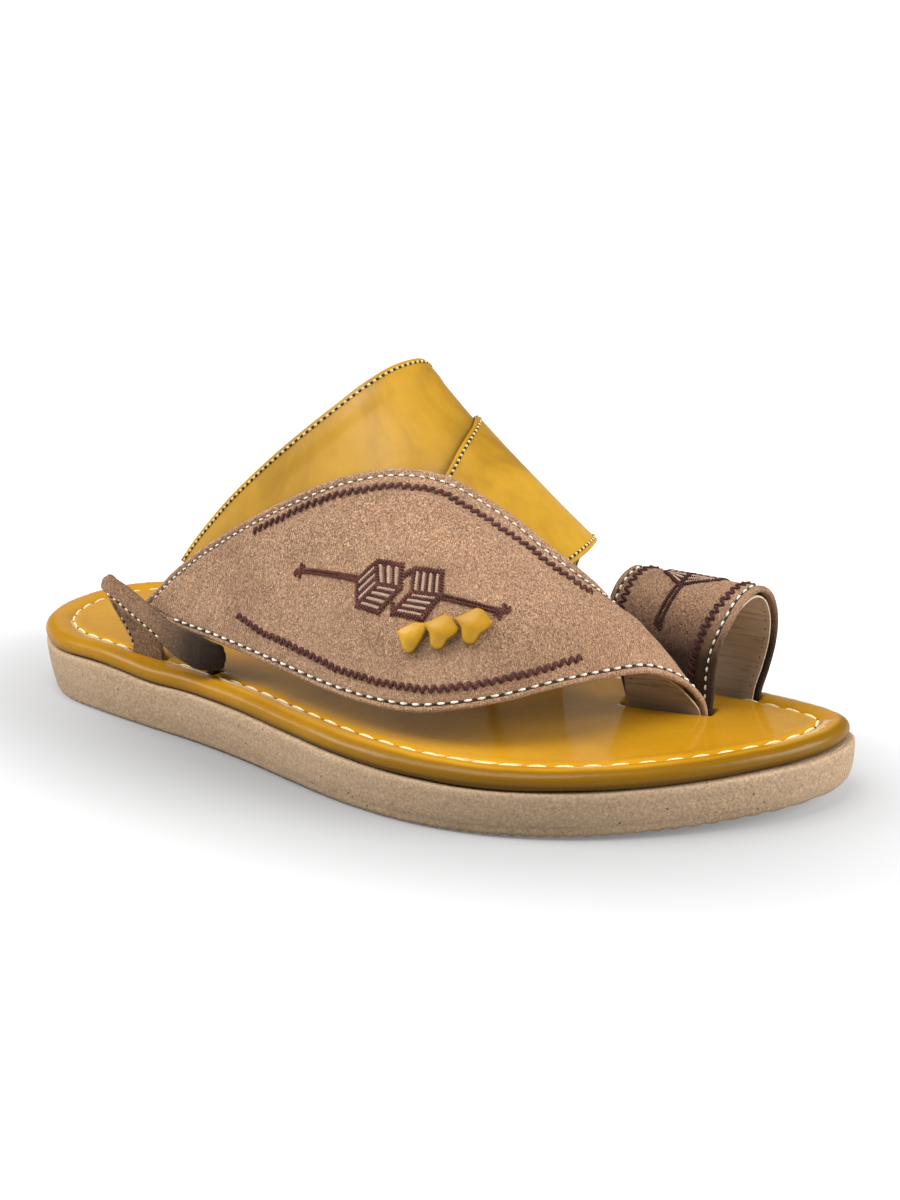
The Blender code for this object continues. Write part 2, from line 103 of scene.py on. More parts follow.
# last under the straps: station x, crest y, lateral half width, height over the footbed
LAST = [
    (60.0, -3.0, 30.0, 180.0), (80.0, -2.5, 32.5, 164.0), (100.0, -2.0, 36.0, 147.0),
    (130.0, -0.5, 42.0, 120.0), (152.0, 0.5, 46.0, 100.5), (170.0, 1.0, 47.5, 83.8),
    (190.0, 2.0, 46.0, 67.2), (205.0, 3.0, 42.5, 55.2), (220.0, 4.0, 39.0, 43.4),
]
MEDIAL_SLIT_X = (88.0, 188.0)
MEDIAL_SLIT_Y = (25.5, 33.0)
# instep bands: angle round the last, collar x, rear x of the front band, front x
BANDS = [
    (-77.0, 88.0, 158.0, 178.0), (-68.0, 104.5, 166.0, 186.0), (-58.0, 120.0, 171.5, 194.0),
    (-48.0, 131.8, 175.0, 201.0), (-36.0, 141.6, 177.0, 207.5), (-24.0, 147.2, 177.2, 212.4),
    (-12.0, 150.2, 175.3, 213.8), (0.0, 151.4, 172.4, 213.2), (12.0, 150.6, 168.6, 211.2),
    (25.0, 146.8, 163.0, 207.2), (40.0, 139.4, 156.0, 200.2), (55.0, 129.0, 148.0, 194.2),
    (70.0, 114.0, 140.0, 189.4), (82.0, 98.5, 134.5, 187.2), (90.0, 89.0, 131.5, 187.0),
]
REAR_BAND_TUCK = 26.0
SUNK = 4.3
# suede wing on the last: station x, lower edge z, upper edge z
WING = [
    (70.0, 37.4, 39.4), (77.0, 36.4, 45.6), (86.0, 35.5, 53.4), (97.0, 35.0, 61.3),
    (110.0, 34.4, 69.5), (125.0, 33.2, 78.0), (140.0, 31.8, 85.6), (154.0, 30.2, 91.4),
    (167.0, 29.1, 93.2), (178.0, 28.7, 90.2), (188.0, 28.9, 84.2), (198.0, 30.4, 77.4),
]
WING_OUT = [(165.0, 4.6), (188.0, 6.2)]
# suede wing past the last: lower edge, crown and upper edge (x, y, z)
WING_TOE = [
    ((212.0, -38.0, 33.6), (213.0, -31.5, 57.0), (212.0, -11.5, 75.0)),
    ((222.0, -27.0, 36.4), (222.0, -20.5, 55.5), (219.0, -8.5, 69.5)),
    ((230.0, -12.0, 37.2), (227.2, -5.5, 54.6), (221.0, 0.5, 62.0)),
    ((237.5, 4.0, 36.4), (231.6, 7.6, 49.8), (220.6, 10.0, 53.0)),
    ((243.2, 17.0, 30.4), (235.4, 17.4, 38.6), (220.0, 16.0, 40.5)),
    ((245.8, 24.2, 23.6), (235.4, 23.2, 27.4), (219.6, 19.8, 28.2)),
    ((246.0, 26.0, 16.0), (233.0, 24.0, 16.0), (219.6, 21.4, 16.0)),
]
# toe loop, outer face: y, z, rear edge x, front edge x, how much further out the rear lies
TOE_LOOP = [
    (26.5, 16.0, 219.2, 246.0, -4.6), (26.3, 24.0, 217.2, 246.7, -4.2),
    (24.6, 33.0, 213.2, 247.8, -2.6), (23.6, 42.0, 210.4, 250.0, -1.4),
    (25.4, 50.0, 209.7, 252.6, -0.6), (30.8, 56.4, 210.1, 254.4, 0.0),
    (37.6, 58.6, 211.1, 255.8, 0.0), (44.6, 55.6, 212.2, 256.4, 0.0),
    (49.4, 48.0, 212.8, 256.4, 0.0), (50.8, 38.5, 213.0, 255.6, 0.0),
    (49.4, 29.0, 212.8, 254.2, 0.0), (47.4, 22.0, 212.4, 253.0, 0.0),
    (47.0, 16.0, 212.0, 252.6, 0.0),
]
# heel keeper, centre line: x, y, z, way its width points (x, y, z), width
KEEPER = [
    (70.0, -35.6, 17.4, 1.0, 0.0, 0.0, 13.5), (69.8, -35.7, 23.0, 1.0, 0.0, 0.05, 13.5),
    (67.4, -36.2, 29.4, 0.95, 0.05, 0.3, 11.0), (63.6, -37.2, 35.8, 0.75, 0.25, 0.6, 9.0),
    (60.0, -39.0, 42.0, 0.5, 0.45, 0.7, 8.5), (58.8, -42.0, 46.4, 0.25, 0.6, 0.75, 8.5),
    (62.2, -44.8, 47.0, 0.1, 0.62, 0.78, 8.0), (69.2, -45.6, 44.0, 0.1, 0.6, 0.8, 7.4),
    (78.0, -46.0, 40.0, 0.12, 0.55, 0.8, 7.2), (90.0, -46.6, 34.9, 0.15, 0.45, 0.86, 7.8),
    (98.0, -46.6, 32.4, 0.1, 0.3, 0.95, 9.8), (103.6, -45.2, 30.4, 0.05, 0.1, 1.0, 10.2),
    (107.0, -41.8, 29.3, 0.0, 0.0, 1.0, 7.8), (104.4, -39.0, 28.6, 0.0, 0.0, 1.0, 6.0),
    (100.4, -36.0, 25.8, 0.0, 0.0, 1.0, 5.4), (96.2, -33.4, 20.0, 0.0, 0.0, 1.0, 4.0),
]
KEEPER_THICK = 3.0
# leather knots on the wing: share along it, share up it, turn in degrees, size
KNOTS = [(0.5245, 0.310, 0.0, 1.14), (0.5600, 0.352, -3.0, 1.10), (0.597, 0.400, 0.0, 1.14)]
# outlines of the knots: angle from the toe end towards the top, reach in mm
KNOT_LEAF = [(12.0, 3.3), (40.0, 5.0), (53.0, 5.6), (66.0, 4.6), (90.0, 4.0), (133.0, 3.3),
             (170.0, 4.4), (198.0, 3.1), (245.0, 3.8), (270.0, 4.5), (292.0, 3.9), (335.0, 2.9)]
KNOT_SHIELD = [(0.0, 4.0), (21.0, 5.3), (46.0, 4.6), (68.0, 5.0), (90.0, 4.9), (120.0, 4.0),
               (145.0, 4.1), (167.0, 5.3), (180.0, 3.8), (197.0, 3.0), (218.0, 3.2),
               (246.0, 4.7), (266.0, 5.1), (286.0, 4.7), (304.0, 3.5), (322.0, 2.9), (342.0, 3.2)]

# zigzag seams on the wing: share along it, share up it
ZIGZAG_TOP = [(0.243, 0.882), (0.289, 0.896), (0.349, 0.911), (0.400, 0.910), (0.446, 0.912),
              (0.480, 0.914), (0.519, 0.909), (0.574, 0.897), (0.636, 0.900), (0.690, 0.876),
              (0.746, 0.840)]
ZIGZAG_LOW = [(0.218, 0.289), (0.270, 0.201), (0.345, 0.155), (0.419, 0.116), (0.485, 0.106),
              (0.531, 0.105), (0.585, 0.110), (0.640, 0.137), (0.687, 0.171), (0.740, 0.241)]
# zigzag seams on the toe loop: share over it, share from front to rear
LOOP_ZIGZAG_FRONT = [(0.150, 0.215), (0.224, 0.200), (0.322, 0.175), (0.422, 0.142),
                     (0.500, 0.130), (0.620, 0.130), (0.740, 0.140), (0.850, 0.150)]
LOOP_ZIGZAG_REAR = [(0.250, 0.870), (0.333, 0.880), (0.421, 0.880), (0.520, 0.875),
                    (0.620, 0.870), (0.740, 0.860), (0.850, 0.850)]

# soft creases on the wing: share along, share up, way it runs in degrees (0 along),
# length, half width, depth in mm (negative is a ridge)
WING_CREASES = [
    (0.085, 0.55, 62.0, 16.0, 2.6, 0.35),
    (0.135, 0.42, 48.0, 26.0, 3.6, 0.42),
    (0.185, 0.62, 66.0, 22.0, 5.0, 0.30),
    (0.160, 0.25, 20.0, 18.0, 2.6, -0.25),
    (0.800, 0.55, 84.0, 26.0, 4.0, 0.25),
    (0.870, 0.50, 80.0, 20.0, 2.6, -0.22),
]


# ----------------------------------------------------------------------- curves and sole
class Curve:
    """Smooth curve through table rows: a parameter and the values it carries."""

    def __init__(self, knots, values):
        self.k = list(knots)
        self.v = [tuple(v) for v in values]
        self.m = []
        last_ = len(self.k) - 1
        for i in range(last_ + 1):
            a, b = max(0, i - 1), min(last_, i + 1)
            if 0 < i < last_:
                h0, h1 = self.k[i] - self.k[a], self.k[b] - self.k[i]
                self.m.append(tuple(
                    ((q - p) / h0 * h1 + (r - q) / h1 * h0) / (h0 + h1)
                    for p, q, r in zip(self.v[a], self.v[i], self.v[b])))
            else:
                h = self.k[b] - self.k[a]
                self.m.append(tuple((r - p) / h for p, r in zip(self.v[a], self.v[b])))

    def __call__(self, t):
        k = self.k
        if t <= k[0]:
            return tuple(v + m * (t - k[0]) for v, m in zip(self.v[0], self.m[0]))
        if t >= k[-1]:
            return tuple(v + m * (t - k[-1]) for v, m in zip(self.v[-1], self.m[-1]))
        i = max(j for j in range(len(k) - 1) if k[j] <= t)
        h = k[i + 1] - k[i]
        u = (t - k[i]) / h
        a, b = 2 * u ** 3 - 3 * u * u + 1, u ** 3 - 2 * u * u + u
        c, d = 3 * u * u - 2 * u ** 3, u ** 3 - u * u
        return tuple(a * p + b * h * m + c * q + d * h * n for p, m, q, n in
                     zip(self.v[i], self.m[i], self.v[i + 1], self.m[i + 1]))


def column(rows):
    return Curve([r[0] for r in rows], [r[1:] for r in rows])


def mix(a, b, t):
    return a + (b - a) * t


def step(t):
    t = np.clip(t, 0.0, 1.0)
    return t * t * (3.0 - 2.0 * t)


def through(points):
    knots = [0.0]
    for p, q in zip(points, points[1:]):
        knots.append(knots[-1] + (Vector(q) - Vector(p)).length)
    return Curve([k / knots[-1] for k in knots], points)


def even(curve, count, dense=900):
    """Points spread evenly by length along a curve, both ends included."""
    pts = np.array([curve(i / dense) for i in range(dense + 1)])
    run = np.r_[0.0, np.cumsum(np.linalg.norm(np.diff(pts, axis=0), axis=1))]
    want = np.linspace(0.0, run[-1], count + 1)
    return np.stack([np.interp(want, run, pts[:, k]) for k in range(pts.shape[1])], axis=1)


def outline(side):
    """Heel tip to toe tip along the lateral edge, and the same along the medial edge."""
    heel, toe = (0.0, HEEL_TIP_Y), (LENGTH, TOE_TIP_Y)
    lateral = [(x, lat) for x, lat, med in OUTLINE]
    medial = [(x, med) for x, lat, med in OUTLINE]
    loop = [heel] + lateral + [toe] + medial[::-1] + [heel]
    lead, tail = medial[1::-1], lateral[:2]
    full = lead + loop + tail
    curve = through(full)
    k0, k1, k2 = (curve.k[len(lead)], curve.k[len(lead) + len(lateral) + 1],
                  curve.k[len(full) - len(tail) - 1])
    return (even(lambda t: curve(mix(k0, k1, t)), side),
            even(lambda t: curve(mix(k2, k1, t)), side))


def ring_of(side):
    """The outline as one closed loop of points, with inward normals and run length."""
    lat, med = outline(side)
    ring = np.concatenate([lat, med[-2:0:-1]])
    along = np.roll(ring, -1, axis=0) - np.roll(ring, 1, axis=0)
    inward = np.stack([-along[:, 1], along[:, 0]], axis=1)
    inward /= np.linalg.norm(inward, axis=1, keepdims=True)
    run = np.r_[0.0, np.cumsum(np.linalg.norm(np.diff(ring, axis=0), axis=1))]
    return ring, inward, run


thick = column(THICKNESS)
THICK_X = np.linspace(-5.0, 295.0, 301)
THICK_Z = np.array([thick(x)[0] for x in THICK_X])


def under(x):
    x = np.asarray(x, dtype=float)
    return TOE_SPRING * np.maximum(0.0, (x - SPRING_FROM) / (LENGTH - SPRING_FROM)) ** 2


def sole_top(x):
    return under(x) + np.interp(x, THICK_X, THICK_Z)


def bed(x):
    return sole_top(x) + PAD


def wobble(p, scale, seed=0.0):
    """Smooth value between about -1 and 1 that drifts over the given distance in mm."""
    return noise.noise(Vector((p[0] / scale + seed, p[1] / scale - seed, p[2] / scale)))


# ----------------------------------------------------------------------------- surfaces
last = column(LAST)


def slit_y(x):
    (x0, x1), (y0, y1) = MEDIAL_SLIT_X, MEDIAL_SLIT_Y
    return mix(y0, y1, (x - x0) / (x1 - x0))


def on_last(x, angle, out=0.0):
    """Point at station x and an angle round the arch, moved out along the surface normal."""
    def bare(x, a):
        crest, half, high = last(x)
        side = half if a < 0 else slit_y(x) - crest
        return np.array((x, crest + side * math.sin(a), float(bed(x)) + high * math.cos(a)))
    p = bare(x, angle)
    if out:
        e = 0.01
        n = np.cross(bare(x + 0.5, angle) - bare(x - 0.5, angle),
                     bare(x, angle + e) - bare(x, angle - e))
        p = p + n / np.linalg.norm(n) * out
    return p


def angle_at(x, z):
    return -math.acos(max(-1.0, min(1.0, (z - float(bed(x))) / last(x)[2])))


lap = column([(b[0], b[2]) for b in BANDS])


def band_grid(rear_edge, front_edge, inner, rows, cols):
    """Outer face of a band; its medial end goes straight down into the footbed slit."""
    edges = column([(b[0], b[rear_edge], b[front_edge]) for b in BANDS])
    grid = []
    for i in range(rows + 1):
        a = mix(BANDS[0][0], 90.0, i / rows)
        x0, x1 = edges(a)
        if rear_edge == 1:
            x1 = min(x1, lap(a)[0] + REAR_BAND_TUCK)
        grid.append([on_last(mix(x1, x0, j / cols), math.radians(a), inner + BAND)
                     for j in range(cols + 1)])
    for k in range(1, 6):
        grid.append([np.array((p[0], p[1], float(bed(p[0])) - SUNK * k / 5.0))
                     for p in grid[rows]])
    return np.array(grid)


RIB = 10


def wing_grid(rows, cols):
    """Outer face of the wing, tail to toe tip along the rows, lower to upper edge across."""
    ribs = []
    out = column(WING_OUT)
    for x, low, high in WING:
        o = out(min(max(x, WING_OUT[0][0]), WING_OUT[1][0]))[0]
        a0, a1 = angle_at(x, low), angle_at(x, high)
        path = through([on_last(x, mix(a0, a1, k / 60), o) for k in range(61)])
        ribs.append(even(path, RIB, 120))
    for low, crown, high in WING_TOE:
        ribs.append(even(Curve([0.0, 0.5, 1.0], [low, crown, high]), RIB, 120))
    mid = np.array([r[RIB // 2] for r in ribs])
    knots = np.r_[0.0, np.cumsum(np.linalg.norm(np.diff(mid, axis=0), axis=1))]
    knots = list(knots / knots[-1])
    lines = [Curve(knots, [tuple(r[j]) for r in ribs]) for j in range(RIB + 1)]
    grid = []
    for i in range(rows + 1):
        across = Curve([j / RIB for j in range(RIB + 1)], [line(i / rows) for line in lines])
        grid.append([across(j / cols) for j in range(cols + 1)])
    return np.array(grid)


def toe_loop_grid(rows, cols):
    path = through([r[:2] for r in TOE_LOOP])
    full = Curve(path.k, TOE_LOOP)
    grid = []
    for i in range(rows + 1):
        y, z, x0, x1, out = full(i / rows)
        grid.append([(mix(x1, x0, j / cols), y + out * j / cols, z) for j in range(cols + 1)])
    return np.array(grid)


class Sheet:
    """A strap's outer face: a dense grid of points with their outward normals."""

    def __init__(self, grid):
        self.g = grid
        n = np.cross(np.gradient(grid, axis=0), np.gradient(grid, axis=1))
        self.n = n / np.maximum(np.linalg.norm(n, axis=2, keepdims=True), 1e-9)
        self.rows, self.cols = grid.shape[0] - 1, grid.shape[1] - 1
        gap = np.linalg.norm(np.diff(grid, axis=1), axis=2)
        self.run = np.concatenate([np.zeros((self.rows + 1, 1)), np.cumsum(gap, axis=1)], axis=1)
        self.wide = self.run[:, -1]

    def at(self, s, t):
        """Point and normal at shares s along the rows and t across."""
        a, b = np.clip(s, 0, 1) * self.rows, np.clip(t, 0, 1) * self.cols
        i, j = min(int(a), self.rows - 1), min(int(b), self.cols - 1)
        a, b = a - i, b - j

        def blend(m):
            return (m[i, j] * (1 - a) * (1 - b) + m[i + 1, j] * a * (1 - b)
                    + m[i, j + 1] * (1 - a) * b + m[i + 1, j + 1] * a * b)
        n = blend(self.n)
        return blend(self.g), n / np.linalg.norm(n)

    def across(self, i, q):
        """Points and normals of row i at distances q from its first edge."""
        p = np.stack([np.interp(q, self.run[i], self.g[i, :, k]) for k in range(3)], axis=1)
        n = np.stack([np.interp(q, self.run[i], self.n[i, :, k]) for k in range(3)], axis=1)
        return p, n / np.linalg.norm(n, axis=1, keepdims=True)

    def edge_line(self, far, inset, first=0.0, final=1.0):
        """Points and normals along one edge, a fixed distance inside it."""
        pts, nrm = [], []
        for i in range(int(first * self.rows), int(final * self.rows) + 1):
            q = self.wide[i] - inset if far else inset
            p, n = self.across(i, np.array([min(max(q, 0.0), self.wide[i])]))
            pts.append(p[0])
            nrm.append(n[0])
        return np.array(pts), np.array(nrm)


# --------------------------------------------------------------------------- mesh making
LAT0, MED0 = outline(40)
SHIFT = np.array((-LENGTH / 2, -(min(LAT0[:, 1].min(), MED0[:, 1].min())
                                 + max(LAT0[:, 1].max(), MED0[:, 1].max())) / 2, 0.0))


def place(p):
    return (np.asarray(p, dtype=float) + SHIFT) * 0.001


def piece(name, verts, faces, mats, index=None, turn=True):
    mesh = bpy.data.meshes.new(name)
    mesh.from_pydata(place(verts).tolist(), [], faces)
    for m in mats if isinstance(mats, (list, tuple)) else [mats]:
        mesh.materials.append(m)
    if index is not None:
        mesh.polygons.foreach_set("material_index", index)
    if turn:
        bm = bmesh.new()
        bm.from_mesh(mesh)
        bmesh.ops.recalc_face_normals(bm, faces=bm.faces)
        bm.to_mesh(mesh)
        bm.free()
    mesh.polygons.foreach_set("use_smooth", [True] * len(mesh.polygons))
    mesh.update()
    obj = bpy.data.objects.new(name, mesh)
    bpy.context.scene.collection.objects.link(obj)
    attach(obj, "root")
    return obj


def tube_faces(rows, count):
    """Faces of a closed tube of rows of points, with both ends capped."""
    faces = []
    for i in range(rows - 1):
        a, b = i * count, (i + 1) * count
        for j in range(count):
            k = (j + 1) % count
            faces.append((a + j, a + k, b + k, b + j))
    faces.append(tuple(range(count - 1, -1, -1)))
    faces.append(tuple(range((rows - 1) * count, rows * count)))
    return faces


def strap_mesh(sheet, section, shape=None):
    """Closed strap: section(width) gives rows of (distance across, depth), shape(i, q, p)
    gives the small hills and hollows of the outer face."""
    rows = []
    for i in range(sheet.rows + 1):
        q, depth = section(sheet.wide[i])
        p, n = sheet.across(i, q)
        lift = -depth
        if shape is not None:
            lift = lift + shape(i, q, p) * step(1.0 - depth / 1.2)
        rows.append(p + n * lift[:, None])
    count = len(rows[0])
    return np.concatenate(rows), tube_faces(len(rows), count)


def suede_section(wide, r=0.95, hem=4.2, inner=1.25, count=64):
    """Folded edge: over the face, round the fold, a thin hem underneath, and back inside."""
    s = min(1.0, wide / (2.6 * hem))
    r_, hem_ = r * max(s, 0.25), hem * s
    face = r_ + (wide - 2 * r_) * 0.5 * (1 - np.cos(np.linspace(0, math.pi, count)))
    a = np.linspace(0.0, math.pi, 9)[1:]
    q = [face, wide - r_ + r_ * np.sin(a)]
    d = [np.zeros(count), r_ * (1 - np.cos(a))]
    under_q = np.array((1.7, 2.6, 3.5, 4.2)) / 4.2 * hem_
    under_d = np.array((1.85, 1.74, 1.55, inner)) * (r_ / r)
    q += [wide - under_q]
    d += [under_d]
    back = np.linspace(wide - hem_ * 1.15, hem_ * 1.15, 16)
    q += [back, under_q[::-1], r_ - r_ * np.sin(a[::-1])]
    d += [np.full(16, inner * r_ / r), under_d[::-1], r_ * (1 - np.cos(a[::-1]))]
    return np.concatenate(q), np.concatenate(d)


LINING_INSET = 1.5


def lining_section(wide, inset=LINING_INSET, deep=3.0, thin=0.62, flare=0.7, count=36):
    """Lining sheet: it stands a little away from the suede along its edges."""
    s = min(1.0, wide / 11.0)
    i_ = inset * s
    h = thin * max(s, 0.3)
    q0 = i_ + (wide - 2 * i_) * 0.5 * (1 - np.cos(np.linspace(0, math.pi, count)))
    low = deep * max(s, 0.5) + flare * s * np.exp(-(np.minimum(q0, wide - q0) / 4.5) ** 2)
    q = [q0, np.array([wide - i_ + 0.2 * s]), q0[::-1], np.array([i_ - 0.2 * s])]
    d = [low - h, np.array([low[-1] - h / 2]), low[::-1], np.array([low[0] - h / 2])]
    return np.concatenate(q), np.concatenate(d)


def leather_section(wide, top=0.0, bottom=1.35, inset=0.0, round_=0.45, count=48):
    """Cut leather edge with its corners taken off."""
    a = np.linspace(0.0, math.pi / 2, 5)
    lo, hi = inset, wide - inset
    face = np.linspace(lo + round_, hi - round_, count)
    q = [face, hi - round_ + round_ * np.sin(a[1:]), np.array([hi, hi - 0.1]),
         np.linspace(hi - 0.5, lo + 0.5, count), np.array([lo + 0.1, lo]),
         lo + round_ - round_ * np.sin(a[:0:-1])]
    d = [np.full(count, top), top + round_ * (1 - np.cos(a[1:])),
         np.array([bottom - 0.25, bottom - 0.05]), np.full(count, bottom),
         np.array([bottom - 0.05, bottom - 0.25]), top + round_ * (1 - np.cos(a[:0:-1]))]
    return np.concatenate(q), np.concatenate(d)


# ------------------------------------------------------------------------------- threads
class Threads:
    """Many short thread lengths, gathered into one mesh."""

    def __init__(self, rings=7, sides=8):
        self.rings, self.sides = rings, sides
        self.verts, self.faces = [], []

    def add(self, a, b, n, radius, rise=0.2, sink=0.35, ply=0.0, turns=2.0):
        """One stitch from a to b lying on a surface with normal n; it climbs out of the
        surface at one end and dips back at the other."""
        a, b, n = np.asarray(a), np.asarray(b), np.asarray(n)
        way = b - a
        long = np.linalg.norm(way)
        if long < 1e-6:
            return
        way = way / long
        side = np.cross(n, way)
        side /= np.linalg.norm(side)
        top = np.cross(way, side)
        start = len(self.verts) * self.rings * self.sides + len(self.verts) * 2
        t = 0.5 - 0.5 * np.cos(np.linspace(0.06, 0.94, self.rings) * math.pi)
        ang = np.linspace(0.0, 2 * math.pi, self.sides, endpoint=False)
        bow = np.sin(math.pi * t) ** 0.5
        centre = a + way * (long * t)[:, None] + top * (rise * bow - sink * (1 - bow))[:, None]
        fat = radius * np.clip(1.0 - np.abs(2 * t - 1) ** 5, 0.25, 1.0)
        r = fat[:, None] * (1.0 + ply * np.cos(2 * ang[None, :] - 2 * math.pi * turns * t[:, None]))
        pts = (centre[:, None, :] + side * (r * np.cos(ang))[:, :, None]
               + top * (r * np.sin(ang))[:, :, None]).reshape(-1, 3)
        ends = np.stack([a - top * sink, b - top * sink])
        self.verts.append(np.concatenate([pts, ends]))
        m = self.sides
        for i in range(self.rings - 1):
            for j in range(m):
                k = (j + 1) % m
                self.faces.append((start + i * m + j, start + i * m + k,
                                   start + (i + 1) * m + k, start + (i + 1) * m + j))
        e0, e1 = start + self.rings * m, start + self.rings * m + 1
        for j in range(m):
            k = (j + 1) % m
            self.faces.append((start + k, start + j, e0))
            self.faces.append((start + (self.rings - 1) * m + j,
                               start + (self.rings - 1) * m + k, e1))

    def make(self, name, mat):
        return piece(name, np.concatenate(self.verts), self.faces, mat, turn=False)


def groove_shade_line(sheet, threads, far, inset, first, final, radius=0.22, lift=-0.14):
    """Painted shade: a dark line along the foot of a seam for the shade in its groove, laid as short touching
    lengths.
    """
    seam = Seam(*sheet.edge_line(far, inset, first, final))
    count = int(seam.long / 2.4)
    for k in range(count):
        a, na = seam.at(seam.long * k / count - 0.2)
        b, nb = seam.at(seam.long * (k + 1) / count + 0.2)
        threads.add(a + na * lift, b + nb * lift, na, radius, 0.0, 0.0)


class Seam:
    """A line on a surface, measured by its run length."""

    def __init__(self, pts, nrm):
        self.p, self.n = np.asarray(pts), np.asarray(nrm)
        self.run = np.r_[0.0, np.cumsum(np.linalg.norm(np.diff(self.p, axis=0), axis=1))]
        self.long = self.run[-1]

    def at(self, d):
        p = np.array([np.interp(d, self.run, self.p[:, k]) for k in range(3)])
        n = np.array([np.interp(d, self.run, self.n[:, k]) for k in range(3)])
        return p, n / np.linalg.norm(n)

    def frame(self, d):
        p, n = self.at(d)
        a, b = self.at(max(0.0, d - 0.4))[0], self.at(min(self.long, d + 0.4))[0]
        way = (b - a) / np.linalg.norm(b - a)
        return p, n, way, np.cross(n, way)


def surface_seam(sheet, table, dense=240):
    """Seam through a table of (share along, share across) on a sheet."""
    path = through(table)
    pts = [sheet.at(*path(i / dense)) for i in range(dense + 1)]
    return Seam([p for p, n in pts], [n for p, n in pts])


def running(seam, threads, pitch, length, radius, rise=0.25, sink=0.4, ply=0.12, lift=0.0,
            holes=None, hole_radius=0.4, turns=2.0):
    """A row of straight stitches, with dark dashes between them that paint the shade in the needle holes."""
    count = max(1, int(round(seam.long / pitch)))
    real = seam.long / count
    for k in range(count):
        a0, a1 = k * real + (real - length) / 2, k * real + (real + length) / 2
        pa, na = seam.at(a0)
        pb, nb = seam.at(a1)
        n = na + nb
        n /= np.linalg.norm(n)
        threads.add(pa + n * lift, pb + n * lift, n, radius, rise, sink, ply, turns)
        if holes is not None and k < count - 1:
            ha, hn = seam.at(a1 - 0.15)
            hb, _ = seam.at((k + 1) * real + (real - length) / 2 + 0.15)
            holes.add(ha + hn * lift, hb + hn * lift, hn, hole_radius, 0.05, 0.3)


def zigzag(seam, threads, pitch, high, radius, lean=(0.6, 0.6), back=(0.5, 0.5)):
    """Zigzag across a seam: a bold stroke leaning towards the toe, then one back under it.
    The lean and the weight of the stroke back change from one end of the seam to the other."""
    count = int(round(seam.long / pitch))
    real = seam.long / count

    def tip(k, share, side_):
        d = min((k + share) * real, seam.long)
        p, n, way, side = seam.frame(d)
        wander = 0.12 * math.sin(7.3 * k) + 0.10 * math.sin(2.1 * k + 1.0)
        return p + side * (side_ * 0.5 * high + wander) + way * 0.10 * math.sin(4.7 * k), n
    for k in range(count):
        far = k / count
        lean_, back_ = mix(*lean, far), mix(*back, far)
        (a, na), (b, nb), (c, nc) = tip(k, 0.0, -1.0), tip(k, lean_, 1.0), tip(k + 1, 0.0, -1.0)
        threads.add(a, b, (na + nb) / np.linalg.norm(na + nb), radius, 0.30, 0.12, 0.14, 1.5)
        threads.add(b, c, (nb + nc) / np.linalg.norm(nb + nc), radius * back_, 0.12, 0.12, 0.0)


def satin(chart, threads, a, b, wide, radius=0.36, pitch=0.84, slant=0.55):
    """Solid bar of thread from a to b on a flat chart, laid over the surface."""
    a, b = np.asarray(a, float), np.asarray(b, float)
    way = b - a
    long = np.linalg.norm(way)
    way /= long
    side = np.array((-way[1], way[0]))
    count = max(2, int(round(long / pitch)))
    for k in range(count + 1):
        c = a + way * (long * k / count)
        w = wide * (1.0 + 0.10 * math.sin(5.1 * k + a[0]))
        p, n = chart(*(c - side * w / 2 - way * slant * w / 2))
        q, m = chart(*(c + side * w / 2 + way * slant * w / 2))
        threads.add(p, q, (n + m) / np.linalg.norm(n + m), radius, 0.30, 0.10, 0.0)


